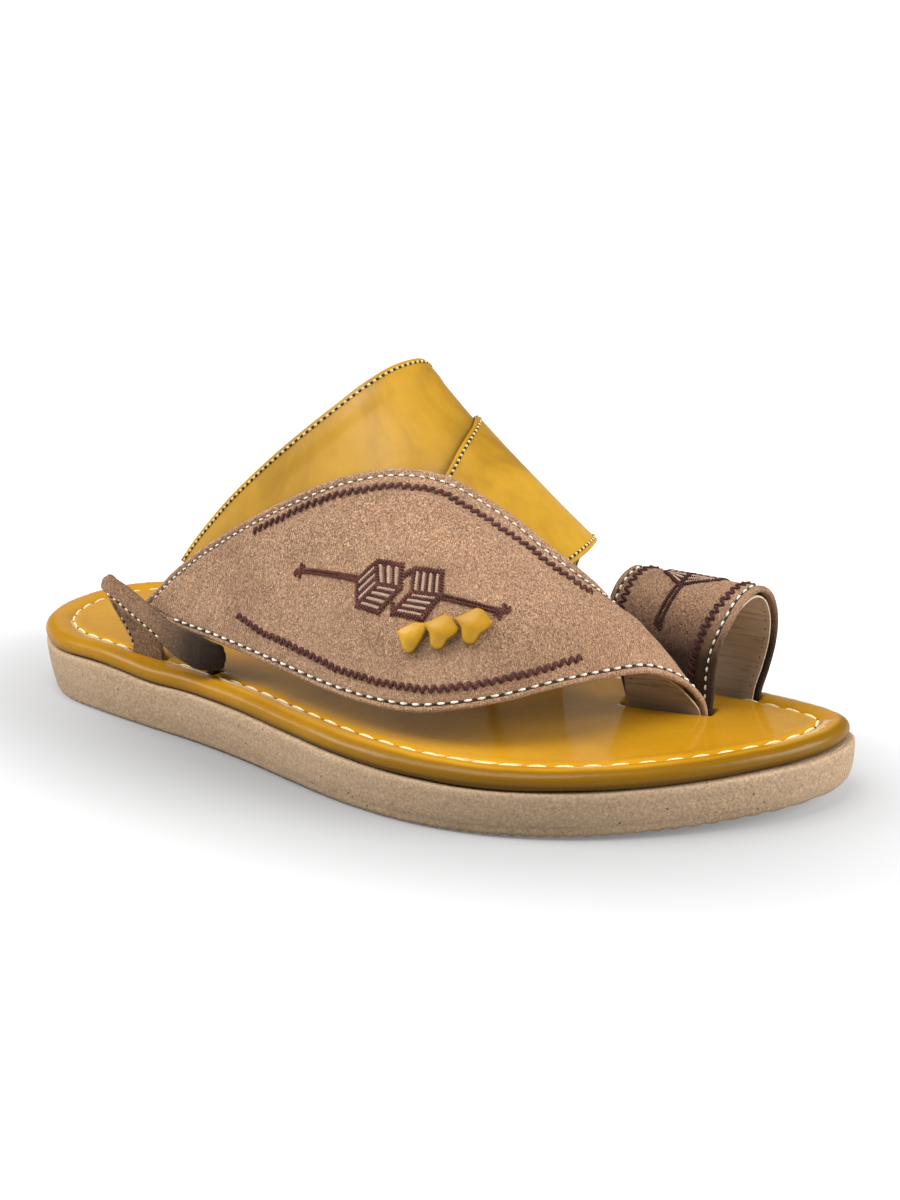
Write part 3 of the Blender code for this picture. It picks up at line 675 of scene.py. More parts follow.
# ----------------------------------------------------------------------------- materials
class Nodes:
    """Short hand for building one shader."""

    def __init__(self, name):
        self.mat = bpy.data.materials.new(name)
        self.mat.use_nodes = True
        self.t = self.mat.node_tree
        self.bsdf = self.t.nodes["Principled BSDF"]
        self.coord = self.t.nodes.new("ShaderNodeTexCoord").outputs["Object"]

    def node(self, kind, **inputs):
        n = self.t.nodes.new(kind)
        for key, value in inputs.items():
            socket = n.inputs[key.replace("_", " ")] if isinstance(key, str) else n.inputs[key]
            self.put(socket, value)
        return n

    def put(self, socket, value):
        if isinstance(value, bpy.types.NodeSocket):
            self.t.links.new(value, socket)
        else:
            socket.default_value = value

    def stretch(self, x, y, z, turn=(0.0, 0.0, 0.0)):
        n = self.node("ShaderNodeMapping", Vector=self.coord)
        n.inputs["Scale"].default_value = (x, y, z)
        n.inputs["Rotation"].default_value = turn
        return n.outputs["Vector"]

    def noise(self, scale, detail=2.0, rough=0.5, distort=0.0, where=None):
        n = self.node("ShaderNodeTexNoise", Vector=where or self.coord, Scale=scale,
                      Detail=detail, Roughness=rough, Distortion=distort)
        return n.outputs["Fac"]

    def cells(self, scale, feature="F1", where=None, random=1.0):
        n = self.t.nodes.new("ShaderNodeTexVoronoi")
        n.feature = feature
        self.put(n.inputs["Vector"], where or self.coord)
        n.inputs["Scale"].default_value = scale
        n.inputs["Randomness"].default_value = random
        return n.outputs["Distance"]

    def ramp(self, fac, *stops):
        n = self.t.nodes.new("ShaderNodeValToRGB")
        self.put(n.inputs["Fac"], fac)
        e = n.color_ramp.elements
        while len(e) < len(stops):
            e.new(0.5)
        for item, (pos, col) in zip(e, stops):
            item.position = pos
            item.color = (*col, 1.0) if len(col) == 3 else (col[0],) * 3 + (1.0,)
        return n.outputs["Color"]

    def level(self, fac, lo, hi, out_lo=0.0, out_hi=1.0):
        n = self.t.nodes.new("ShaderNodeMapRange")
        for key, v in (("Value", fac), ("From Min", lo), ("From Max", hi),
                       ("To Min", out_lo), ("To Max", out_hi)):
            self.put(n.inputs[key], v)
        return n.outputs["Result"]

    def math(self, how, a, b=0.0):
        n = self.t.nodes.new("ShaderNodeMath")
        n.operation = how
        self.put(n.inputs[0], a)
        self.put(n.inputs[1], b)
        return n.outputs["Value"]

    def mix(self, fac, a, b, how="MIX"):
        n = self.t.nodes.new("ShaderNodeMix")
        n.data_type = "RGBA"
        n.blend_type = how
        self.put(n.inputs[0], fac)
        for socket, v in ((n.inputs[6], a), (n.inputs[7], b)):
            self.put(socket, v if isinstance(v, bpy.types.NodeSocket) else (*v, 1.0))
        return n.outputs[2]

    def bump(self, height, strength, distance, under_=None):
        n = self.t.nodes.new("ShaderNodeBump")
        n.inputs["Strength"].default_value = strength
        n.inputs["Distance"].default_value = distance
        self.put(n.inputs["Height"], height)
        if under_ is not None:
            self.put(n.inputs["Normal"], under_)
        return n.outputs["Normal"]

    def done(self, colour, rough, normal=None, **fixed):
        self.put(self.bsdf.inputs["Base Color"], colour)
        self.put(self.bsdf.inputs["Roughness"], rough)
        if normal is not None:
            self.put(self.bsdf.inputs["Normal"], normal)
        for key, value in fixed.items():
            self.bsdf.inputs[key.replace("_", " ")].default_value = value
        return self.mat


def suede_material(name, dark, mid, light, shade=None):
    m = Nodes(name)
    grain = m.noise(2400.0, 2.0, 0.55, 1.4, m.stretch(1.0, 1.0, 0.55))
    fine = m.noise(3800.0, 1.0, 0.5)
    patch = m.noise(48.0, 3.0, 0.55, 0.4)
    broad = m.noise(17.0, 2.0, 0.5)
    nap = m.math("ADD", m.math("MULTIPLY", grain, 0.76), m.math("MULTIPLY", fine, 0.24))
    base = m.ramp(nap, (0.385, dark), (0.50, mid), (0.615, light))
    base = m.mix(m.level(patch, 0.40, 0.72, 0.0, 0.30), base, dark, "MIX")
    base = m.mix(m.level(broad, 0.42, 0.68, 0.0, 0.22), base, light, "MIX")
    if shade:
        # painted shade, darker towards one end: low down on the toe loop, and at the keeper's turned end, which
        # is also soiled
        along = m.node("ShaderNodeSeparateXYZ", Vector=m.coord).outputs[shade[0]]
        base = m.mix(m.level(along, shade[1], shade[2], 0.0, shade[3]), base,
                     (dark[0] * 0.18, dark[1] * 0.18, dark[2] * 0.20), "MIX")
    n1 = m.bump(nap, 1.0, 0.0013)
    n2 = m.bump(patch, 0.15, 0.0012, n1)
    rough = m.level(nap, 0.3, 0.7, 0.97, 0.86)
    return m.done(base, rough, n2, Sheen_Weight=0.10, Sheen_Roughness=0.45,
                  Sheen_Tint=(0.95, 0.78, 0.62, 1.0), Specular_IOR_Level=0.15)


def gloss_leather(name, deep, mid, pale, rough, coat, polish, spec, edge=None, streak=None):
    m = Nodes(name)
    cloud = m.noise(1.0, 4.0, 0.6, 0.5, m.stretch(*streak)) if streak else m.noise(22.0, 3.0, 0.55, 0.3)
    fleck = m.noise(240.0, 2.0, 0.5)
    pores = m.cells(1500.0, "DISTANCE_TO_EDGE")
    base = m.ramp(cloud, (0.32, deep), (0.52, mid), (0.72, pale))
    base = m.mix(m.level(fleck, 0.42, 0.72, 0.0, 0.18), base, deep, "MIX")
    if edge:
        # painted shade from the attribute: on the rim's turned-down side (partly its burnished tone), beside
        # the front band on the rear band and round the foot of each knot
        mark = m.t.nodes.new("ShaderNodeAttribute")
        mark.attribute_name = edge
        base = m.mix(mark.outputs["Fac"], base, (deep[0] * 0.34, deep[1] * 0.34, deep[2] * 0.30), "MIX")
    ripple = m.noise(95.0, 3.0, 0.6, 0.6)
    n1 = m.bump(m.level(pores, 0.0, 0.25), 0.05, 0.00012)
    n2 = m.bump(ripple, 0.10, 0.0006, n1)
    r = m.level(fleck, 0.3, 0.7, rough - 0.04, rough + 0.08)
    return m.done(base, r, n2, Coat_Weight=coat, Coat_Roughness=polish, Coat_IOR=1.5,
                  Specular_IOR_Level=spec)


def foam_material(name):
    m = Nodes(name)
    grain = m.noise(1100.0, 3.0, 0.6, 0.2)
    cloud = m.noise(38.0, 3.0, 0.55)
    scrape = m.noise(1.0, 3.0, 0.6, 0.3, m.stretch(70.0, 70.0, 260.0))
    pits = m.cells(330.0, "F1", m.stretch(1.0, 1.0, 0.8))
    specks = m.cells(760.0, "F1")
    base = m.ramp(grain, (0.30, (0.235, 0.158, 0.095)), (0.52, (0.345, 0.240, 0.148)),
                  (0.72, (0.450, 0.325, 0.209)))
    base = m.mix(m.level(cloud, 0.35, 0.70, 0.0, 0.35), base, (0.375, 0.272, 0.180), "MIX")
    base = m.mix(m.level(scrape, 0.45, 0.75, 0.0, 0.28), base, (0.255, 0.178, 0.115), "MIX")
    hole = m.math("MULTIPLY", m.level(pits, 0.14, 0.06), m.level(m.noise(90.0, 1.0), 0.50, 0.58))
    speck = m.math("MULTIPLY", m.level(specks, 0.20, 0.10), m.level(m.noise(140.0, 1.0), 0.46, 0.58, 0.0, 0.55))
    base = m.mix(speck, base, (0.200, 0.130, 0.080), "MIX")
    base = m.mix(hole, base, (0.080, 0.048, 0.028), "MIX")
    n1 = m.bump(grain, 0.35, 0.0004)
    n2 = m.bump(m.math("SUBTRACT", scrape, hole), 0.30, 0.0005, n1)
    return m.done(base, m.level(grain, 0.3, 0.7, 0.95, 0.82), n2, Specular_IOR_Level=0.2)


def lining_material(name, dark, mid, light, turn=(0.0, 0.0, 0.0), run=(60.0, 60.0, 900.0)):
    m = Nodes(name)
    lines = m.noise(1.0, 3.0, 0.6, 0.35, m.stretch(*run, turn))
    cloud = m.noise(70.0, 3.0, 0.55)
    grain = m.noise(1500.0, 2.0, 0.5)
    base = m.ramp(lines, (0.30, dark), (0.44, mid), (0.68, light))
    base = m.mix(m.level(cloud, 0.40, 0.70, 0.0, 0.4), base, mid, "MIX")
    # painted shade: darker towards the bottom, where the lining lies in the shadow of its strap
    high = m.node("ShaderNodeSeparateXYZ", Vector=m.coord).outputs["Z"]
    base = m.mix(m.level(high, 0.050, 0.020, 0.0, 0.50), base,
                 (dark[0] * 0.55, dark[1] * 0.52, dark[2] * 0.50), "MIX")
    n1 = m.bump(grain, 0.12, 0.0002)
    n2 = m.bump(lines, 0.35, 0.0004, n1)
    return m.done(base, m.level(cloud, 0.3, 0.7, 0.62, 0.78), n2, Specular_IOR_Level=0.3)


def thread_material(name, dark, light, rough=0.6, sheen=0.2):
    m = Nodes(name)
    fibre = m.noise(2600.0, 2.0, 0.6)
    tone = m.noise(160.0, 2.0, 0.5)
    base = m.ramp(fibre, (0.32, dark), (0.66, light))
    base = m.mix(m.level(tone, 0.4, 0.7, 0.0, 0.4), base, dark, "MIX")
    return m.done(base, rough, m.bump(fibre, 0.35, 0.00015), Sheen_Weight=sheen,
                  Sheen_Roughness=0.5, Specular_IOR_Level=0.15)


SUEDE_TAN = suede_material("suede_tan", (0.138, 0.072, 0.039), (0.372, 0.211, 0.120),
                           (0.690, 0.433, 0.270))
SUEDE_LOOP = suede_material("suede_toe_loop", (0.114, 0.060, 0.033), (0.315, 0.174, 0.099),
                            (0.585, 0.356, 0.219), shade=("Z", 0.0545, 0.037, 0.95))
SUEDE_KEEPER = suede_material("suede_keeper", (0.098, 0.050, 0.028), (0.233, 0.127, 0.071),
                              (0.442, 0.266, 0.157), shade=("X", -0.068, -0.045, 0.96))
YELLOW = gloss_leather("leather_bands", (0.215, 0.106, 0.0036), (0.330, 0.173, 0.0085),
                       (0.382, 0.209, 0.0150), rough=0.45, coat=0.30, polish=0.40, spec=0.15,
                       edge="edge", streak=(34.0, 34.0, 10.0))
MUSTARD = gloss_leather("leather_footbed", (0.312, 0.141, 0.0016), (0.374, 0.175, 0.0024),
                        (0.420, 0.204, 0.0044), rough=0.45, coat=0.90, polish=0.13, spec=0.06,
                        edge="edge")
MUSTARD_RIM = gloss_leather("leather_footbed_rim", (0.300, 0.137, 0.0017), (0.358, 0.168, 0.0026),
                            (0.405, 0.197, 0.0046), rough=0.45, coat=0.22, polish=0.28, spec=0.06,
                            edge="edge")
KNOT = gloss_leather("leather_knots", (0.310, 0.156, 0.005), (0.428, 0.227, 0.0098),
                     (0.505, 0.280, 0.0190), rough=0.5, coat=0.12, polish=0.25, spec=0.2,
                     edge="edge")
FOAM = foam_material("foam_sole")
LINING = lining_material("lining_cream", (0.26, 0.188, 0.122), (0.45, 0.352, 0.255),
                         (0.56, 0.460, 0.350))
LINING_BAND = lining_material("lining_band", (0.20, 0.160, 0.122), (0.28, 0.232, 0.180),
                              (0.36, 0.305, 0.245), run=(500.0, 500.0, 500.0))
THREAD_WHITE = thread_material("thread_white", (0.50, 0.44, 0.37), (0.80, 0.76, 0.69))
THREAD_CREAM = thread_material("thread_cream", (0.50, 0.38, 0.17), (0.80, 0.68, 0.40))
THREAD_BROWN = thread_material("thread_brown", (0.030, 0.0100, 0.0088), (0.118, 0.0420, 0.0350), 0.75, 0.0)
THREAD_DARK = thread_material("thread_deep_brown", (0.016, 0.0056, 0.0050), (0.070, 0.0250, 0.0215), 0.75, 0.0)
THREAD_PLUM = thread_material("thread_plum", (0.026, 0.0085, 0.0070), (0.158, 0.0530, 0.0400), 0.7, 0.0)
THREAD_PALE = thread_material("thread_pale", (0.30, 0.195, 0.145), (0.50, 0.350, 0.268), 0.75, 0.0)
THREAD_BLACK = thread_material("thread_dark", (0.012, 0.0075, 0.005), (0.044, 0.026, 0.017), 0.85, 0.0)
THREAD_SHADE = thread_material("thread_shade", (0.024, 0.014, 0.009), (0.080, 0.048, 0.031), 0.9, 0.0)
THREAD_YELLOW = thread_material("thread_yellow", (0.42, 0.29, 0.07), (0.66, 0.52, 0.22))


# ------------------------------------------------------------------------------- outsole
def loft(ring, inward, insets, heights, side, across, cap_height):
    """Closed solid from rings of the outline moved inward, capped below and above."""
    n = len(ring)
    verts, faces = [], []
    for d, z in zip(insets, heights):
        p = ring + inward * (d[:, None] if np.ndim(d) else d)
        verts.append(np.c_[p, z])
    for k in range(len(insets) - 1):
        a, b = k * n, (k + 1) * n
        for i in range(n):
            j = (i + 1) % n
            faces.append((a + i, a + j, b + j, b + i))
    total = len(insets) * n
    for base, flip, z_of in ((0, True, cap_height[0]), ((len(insets) - 1) * n, False, cap_height[1])):
        loop = verts[0 if base == 0 else -1] if base == 0 else verts[len(insets) - 1]
        rows = []
        for i in range(side + 1):
            left, right = i, (-i) % n
            if i in (0, side):
                rows.append([base + left])
                continue
            t = np.linspace(0, 1, across + 1)[1:-1]
            xy = loop[left, :2] + (loop[right, :2] - loop[left, :2]) * t[:, None]
            verts.append(np.c_[xy, z_of(xy)])
            rows.append([base + left] + list(range(total, total + across - 1)) + [base + right])
            total += across - 1
        for r, s in zip(rows, rows[1:]):
            for k in range(across):
                quad = [r[min(k, len(r) - 1)], r[min(k + 1, len(r) - 1)],
                        s[min(k + 1, len(s) - 1)], s[min(k, len(s) - 1)]]
                quad = [v for q, v in enumerate(quad) if v not in quad[:q]]
                if len(quad) > 2:
                    faces.append(tuple(quad if flip else quad[::-1]))
    return np.concatenate(verts), faces


RIB_PITCH, RIB_HIGH = 3.7, 0.55


def tread(x):
    """Height of the tread's grooves over the underside: forefoot and heel ribbed."""
    mask = step((x - 188.0) / 30.0) + 0.8 * step((62.0 - x) / 20.0)
    return RIB_HIGH * mask * (0.5 - 0.5 * np.cos(2 * math.pi * x / RIB_PITCH)) ** 1.5


def press(x, y):
    """How far the keeper and the heel's corner press the lateral rim down."""
    side_ = step(-y / 20.0)
    return side_ * (0.75 * np.exp(-((x - 79.0) / 11.0) ** 2) - 0.35 * np.exp(-((x - 56.0) / 10.0) ** 2)
                    + 0.55 * np.exp(-((x - 28.0) / 13.0) ** 2))


def make_outsole(side=430):
    ring, inward, run = ring_of(side)
    wall = Curve(range(len(OUTSOLE_WALL)), OUTSOLE_WALL)
    insets, heights = [], []
    steps = 26
    for k in range(steps + 1):
        inset, share, extra = wall(k / steps * (len(OUTSOLE_WALL) - 1))
        p = ring + inward * inset
        x = p[:, 0]
        z = under(x) + np.interp(x, THICK_X, THICK_Z) * share + extra
        low = step(1.0 - (share * 14.0 + extra) / 1.6) if share < 0.2 else 0.0
        z = z + tread(x) * low
        rise = np.clip((z - under(x)) / np.interp(x, THICK_X, THICK_Z), 0.0, 1.0)
        z = z - press(p[:, 0], p[:, 1]) * step((rise - 0.4) / 0.6)
        # the wall leans in under the heel and stands out a little round the toe
        lean = 1.6 * step((46.0 - x) / 34.0) * (1.0 - rise) - 1.1 * step((x - 258.0) / 26.0) * step(rise / 0.2)
        rough = np.array([0.10 * wobble((a[0], a[1], b), 5.0) + 0.05 * wobble((a[0], a[1], b), 1.7, 4.0)
                          + 0.16 * wobble((a[0], a[1], b * 0.4), 24.0, 9.0)
                          for a, b in zip(p, z)])
        insets.append(inset + lean + np.abs(rough) * (1.0 if 0 < k < steps else 0.0))
        # the foam's top edge wavers a little where it meets the wrapped footbed
        heights.append(z)
    return loft(ring, inward, insets, heights, side, 36,
                (lambda xy: under(xy[:, 0]) + tread(xy[:, 0]), lambda xy: sole_top(xy[:, 0]) - press(xy[:, 0], xy[:, 1]) - 0.05))


verts, faces = make_outsole()
outsole = piece("outsole_foam", verts, faces, FOAM)
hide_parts("outsole")


# ------------------------------------------------------------------------------- footbed
def slit_dip(xy):
    """How far the leather is pressed down at each point by the strap slits."""
    dip = np.zeros(len(xy))
    for x0, y0, x1, y1, wide in SLITS:
        a, way = np.array((x0, y0)), np.array((x1 - x0, y1 - y0))
        long = np.linalg.norm(way)
        way = way / long
        along = np.abs((xy - a) @ way - long / 2) - long / 2
        away = np.abs((xy - a) @ np.array((-way[1], way[0]))) - wide / 2
        cut = step((0.3 - along) / 0.9) * step((0.3 - away) / 0.9)
        sag = step((2.6 - along) / 3.0) * step((2.6 - away) / 3.0)
        dip = np.maximum(dip, 4.8 * cut + 0.25 * sag)
    return np.minimum(dip, 4.9)


FOOT_PITCH = 8.0


def make_footbed(side=330):
    ring, inward, run = ring_of(side)
    perimeter = run[-1] + np.linalg.norm(ring[0] - ring[-1])
    rim = through(FOOT_RIM)
    insets, heights, rim_shade_and_burnish = [], [], []
    steps = 46
    for k in range(steps + 1):
        t = k / steps
        inset, rise = rim(t)
        p = ring + inward * inset
        x = p[:, 0]
        lift = np.zeros(len(ring))
        push = np.zeros(len(ring))
        roll = step((inset - 0.1) / 2.0) * step((9.4 - inset) / 3.0) if rise > 3.0 else 0.0
        face = step((rise - 0.8) / 1.2) * (1.0 if inset < 3.0 else 0.0)
        for i in range(len(ring)):
            a = run[i]
            q = (ring[i, 0], ring[i, 1], 0.0)
            # fine gathers across the roll, broader waves along it
            gather = noise.noise(Vector((a / 2.6, inset / 9.0, 3.0)))
            broad = noise.noise(Vector((a / 15.0, inset / 14.0, 8.0)))
            slow = noise.noise(Vector((a / 46.0, 0.0, 5.0)))
            lift[i] = roll * (0.10 * gather + 0.22 * broad + 0.16 * slow)
            push[i] = -face * (0.05 * gather + 0.18 * broad + 0.22 * slow)
            if rise < 1.2 and inset < 2.0:
                lift[i] += 0.30 * noise.noise(Vector((a / 22.0, 1.0, 1.0)))
        # the seam pulls the leather down at each needle hole
        if abs(inset - SEAM_INSET) < 1.6:
            phase = np.cos(2 * math.pi * run / FOOT_PITCH)
            lift = lift - 0.22 * step(1 - abs(inset - SEAM_INSET) / 1.6) * (0.5 + 0.5 * phase) ** 3
        z = sole_top(x) + rise + lift - press(x, p[:, 1]) * step((9.5 - inset) / 5.0)
        push = push + 0.7 * step((x - 258.0) / 26.0) * step((6.0 - inset) / 4.0)
        if rise > 4.2 and inset > 3.0:
            z = z - slit_dip(p)
        insets.append(inset + push)
        heights.append(z)
        # painted shade, partly the rim's own burnished tone: darker down the turned-down side of the rim and
        # more so towards the toe
        front_ = step((x - 60.0) / 130.0)
        side_ = 0.58 * step((4.4 - inset) / 2.4) + 0.42 * step((1.5 + 1.1 * front_ - rise) / 1.3)
        side_ = side_ + 0.24 * step((x - 150.0) / 60.0) * step((5.0 - inset) / 2.6)
        rim_shade_and_burnish.append(np.minimum(side_ * (0.62 + 0.38 * front_), 1.0))

    def top(xy):
        soft = np.array([0.16 * wobble((a[0], a[1], 0.0), 30.0, 2.0)
                         + 0.05 * wobble((a[0], a[1], 0.0), 9.0, 6.0) for a in xy])
        return bed(xy[:, 0]) + 0.06 + soft - slit_dip(xy)
    return loft(ring, inward, insets, heights, side, 88,
                (lambda xy: sole_top(xy[:, 0]) + 0.3, top)), np.concatenate(rim_shade_and_burnish)


(verts, faces), rim_shade_and_burnish = make_footbed()
# the outer rings of the wrapped rim come first in the list of faces
outer = 2 * 330 * sum(1 for k in range(46) if through(FOOT_RIM)(k / 46)[0] < 3.1 and k / 46 < 0.6)
footbed = piece("footbed_leather", verts, faces, [MUSTARD, MUSTARD_RIM],
                [1] * outer + [0] * (len(faces) - outer))


def burnish_and_shade(obj, values):
    """Painted shade, on the footbed rim partly its burnished tone: the darkened share of the leather at each
    point, from the first point on.
    """
    mark = obj.data.attributes.new("edge", "FLOAT", "POINT")
    mark.data.foreach_set("value", np.r_[values, np.zeros(len(obj.data.vertices) - len(values))])


burnish_and_shade(footbed, rim_shade_and_burnish)
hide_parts("footbed")

# cream lockstitch all round the footbed, left out under the keeper's feet
ring, inward, run = ring_of(400)
line = ring + inward * SEAM_INSET
zline = sole_top(line[:, 0]) + SEAM_RISE - 0.05
closed = np.c_[line, zline]
closed = np.concatenate([closed, closed[:1]])
foot_seam = Seam(closed, np.tile((0.0, 0.0, 1.0), (len(closed), 1)))
cream, pits = Threads(13, 10), Threads(5, 8)
count = int(round(foot_seam.long / FOOT_PITCH))
real = foot_seam.long / count
for k in range(count):
    pa, na = foot_seam.at(k * real + 0.48)
    pb, _ = foot_seam.at((k + 1) * real - 0.48)
    mid = (pa + pb) / 2
    if slit_dip(np.array([mid[:2], pa[:2], pb[:2]])).max() > 1.0:
        continue
    cream.add(pa, pb, na, 0.42, 0.30, 0.5, 0.12, 4.0)
    # short dark dashes paint the shade in the needle holes between stitches
    ha, _ = foot_seam.at((k + 1) * real - 0.75)
    hb, _ = foot_seam.at(((k + 1) * real + 0.75) % foot_seam.long)
    if np.linalg.norm(ha - hb) < 3.0:
        pits.add(ha, hb, na, 0.30, -0.02, 0.3)
cream.make("footbed_stitches", THREAD_CREAM)
pits.make("footbed_needle_hole_shade", THREAD_BLACK)


# ---------------------------------------------------------------------------------- wing
wing = Sheet(wing_grid(300, 96))
EDGE_SEAM = 2.6


def wing_shape(i, q, p):
    """Hollow under the edge seams, soft puff between, and the listed creases."""
    wide = wing.wide[i]
    s = i / wing.rows
    t = q / wide
    from_edge = np.minimum(q, wide - q)
    lift = (-0.34 * np.exp(-((from_edge - EDGE_SEAM) / 0.6) ** 2)
            + 0.16 * np.exp(-((from_edge - 1.1) / 0.8) ** 2))
    for cs, ct, turn, long, half, deep in WING_CREASES:
        u, v = (s - cs) * 227.0, (t - ct) * max(wide, 1.0)
        c, d = math.cos(math.radians(turn)), math.sin(math.radians(turn))
        a, b = u * c + v * d, -u * d + v * c
        lift = lift - deep * np.exp(-(a / (long / 2)) ** 2 - (b / half) ** 2)
    fade = step(from_edge / 3.0)
    soft = np.array([0.22 * wobble(x, 24.0, 3.0) + 0.08 * wobble(x, 8.0, 5.0) for x in p])
    return lift * step(wide / 9.0) + soft * fade


verts, faces = strap_mesh(wing, suede_section, wing_shape)
wing_suede = piece("wing_suede", verts, faces, SUEDE_TAN)
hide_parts("upper")
verts, faces = strap_mesh(wing, lining_section)
piece("wing_lining", verts, faces, LINING)


def lining_ticks(sheet, threads, first, final, inset=3.0):
    """Needle marks along both edges of a lining, on its inner face."""
    for far in (False, True):
        pts, nrm = sheet.edge_line(far, inset, first, final)
        seam = Seam(pts - nrm * 3.32, -nrm)
        running(seam, threads, 3.15, 1.1, 0.22, 0.06, 0.2, 0.0)


# dark: painted shade in the lining's needle marks, the seam groove and the needle holes
white, dark, brown = Threads(7, 8), Threads(5, 6), Threads(7, 8)
lining_ticks(wing, dark, 0.08, 0.95)
for far, first, final in ((False, 0.075, 0.955), (True, 0.03, 0.955)):
    seam = Seam(*wing.edge_line(far, EDGE_SEAM, first, final))
    if not far:
        groove_shade_line(wing, dark, far, EDGE_SEAM - 0.48, first, final)
    if far:
        running(seam, white, 3.1, 1.75, 0.29, 0.18, 0.45, 0.16, -0.16, dark, 0.11)
    else:
        running(seam, white, 4.0, 2.5, 0.38, 0.24, 0.45, 0.14, -0.14, dark, 0.27)
zigzag(surface_seam(wing, ZIGZAG_TOP), brown, 2.45, 2.1, 0.58, (0.85, 0.95), (0.35, 0.35))
zigzag(surface_seam(wing, ZIGZAG_LOW), brown, 2.6, 2.6, 0.64, (0.52, 0.70), (0.85, 0.45))

# ornament chart: mm along the wing and up it, from a place near the middle of the motif
CHART_S, CHART_T, CHART_ALONG, CHART_UP = 0.48, 0.48, 227.0, 68.0


def wing_chart(u, v):
    return wing.at(CHART_S + u / CHART_ALONG, CHART_T + v / CHART_UP)


# corners of the two boxes: name, along, up
CORNERS = {
    "left": (-11.6, 1.5), "a1": (-6.7, 6.9), "b1": (1.2, 6.5), "c1": (-4.5, 0.7),
    "d1": (2.6, 0.5), "f1": (-10.2, -5.4), "g1": (-2.6, -6.8),
    "q2": (2.9, 4.2), "a2": (5.3, 6.5), "b2": (13.0, 8.0), "c2": (6.4, 0.3),
    "d2": (14.8, 1.5), "p2": (1.2, -3.6), "f2": (2.0, -6.3), "g2": (11.6, -5.8),
}
# satin bars of the outlines: from corner, to corner, width
BARS = [
    ("left", "a1", 1.5), ("a1", "b1", 1.7), ("b1", "d1", 1.5), ("c1", "d1", 1.5),
    ("a1", "c1", 1.4), ("left", "f1", 1.5), ("f1", "c1", 1.5), ("f1", "g1", 1.7),
    ("g1", "d1", 1.5),
    ("q2", "a2", 1.5), ("a2", "b2", 1.7), ("b2", "d2", 1.5), ("c2", "d2", 1.6),
    ("a2", "c2", 1.4), ("p2", "f2", 1.5), ("f2", "c2", 1.4), ("f2", "g2", 1.8),
    ("g2", "d2", 1.5),
]
# hatched faces: the two corners of one end, the two corners of the other, lines, width
HATCH = [
    ("left", "f1", "a1", "c1", 2, 0.6), ("a1", "b1", "c1", "d1", 2, 0.8),
    ("f1", "c1", "g1", "d1", 3, 0.6),
    ("a2", "b2", "c2", "d2", 3, 0.65), ("f2", "c2", "g2", "d2", 3, 0.6),
]
# rods and knobs: along, up, along, up, width
RODS = [
    (-31.0, 5.9, -11.6, 2.4, 0.95), (-31.0, 4.9, -11.6, 1.3, 0.95), (-17.5, 2.8, -11.2, 1.9, 1.9),
    (15.4, 2.0, 30.8, 2.3, 1.0), (15.4, 0.9, 30.8, 1.2, 1.0),
    (-34.6, 5.7, -31.0, 5.3, 2.4), (-32.9, 3.3, -32.6, 8.0, 1.5),
    (-34.6, 4.2, -31.4, 7.2, 1.1),
    (30.6, 1.8, 34.6, 2.4, 2.4), (32.6, -0.8, 32.9, 4.4, 1.5), (31.0, 0.0, 34.4, 4.2, 1.1),
]


def ornament(chart, corners, bars, hatch, rods):
    """Outlines and rods in satin bars; faces hatched with thin lines and pale bars between."""
    plum, pale = Threads(6, 6), Threads(6, 6)
    for a, b, w in bars:
        satin(chart, plum, corners[a], corners[b], w * 1.22)
    for a, b, c, d, lines, w in hatch:
        a, b, c, d = (np.array(corners[k]) for k in (a, b, c, d))
        for k in range(2 * lines + 1):
            t = (k + 1) / (2 * lines + 2)
            p, q = a + (b - a) * t, c + (d - c) * t
            if k % 2:
                satin(chart, plum, p, q, w * 0.9, 0.25, 0.6)
            else:
                p, q = p + (q - p) * 0.14, q + (p - q) * 0.14
                satin(chart, pale, p, q, w * 1.7, 0.29, 0.6)
    for u0, v0, u1, v1, w in rods:
        satin(chart, plum, (u0, v0), (u1, v1), w)
    return plum, pale


plum, pale = ornament(wing_chart, CORNERS, BARS, HATCH, RODS)
plum.make("wing_ornament", THREAD_PLUM)
pale.make("wing_ornament_pale", THREAD_PALE)
white.make("wing_edge_stitches", THREAD_WHITE)
dark.make("wing_groove_and_hole_shade", THREAD_SHADE)
brown.make("wing_zigzag", THREAD_BROWN)


# --------------------------------------------------------------------------------- bands
rear = Sheet(band_grid(1, 3, 0.0, 150, 60))
front = Sheet(band_grid(2, 3, 1.7, 150, 60))
BAND_SEAM = 1.6


# soft folds on the rear band: share along it, share from its front edge, way it runs in
# degrees (0 along the band), length, half width, depth in mm (negative is a ridge)
BAND_CREASES = [
    (0.40, 0.42, 4.0, 70.0, 3.4, 0.30), (0.43, 0.58, -6.0, 54.0, 4.2, -0.26),
    (0.30, 0.55, 14.0, 40.0, 4.6, 0.26), (0.20, 0.62, 22.0, 30.0, 5.0, -0.22),
]


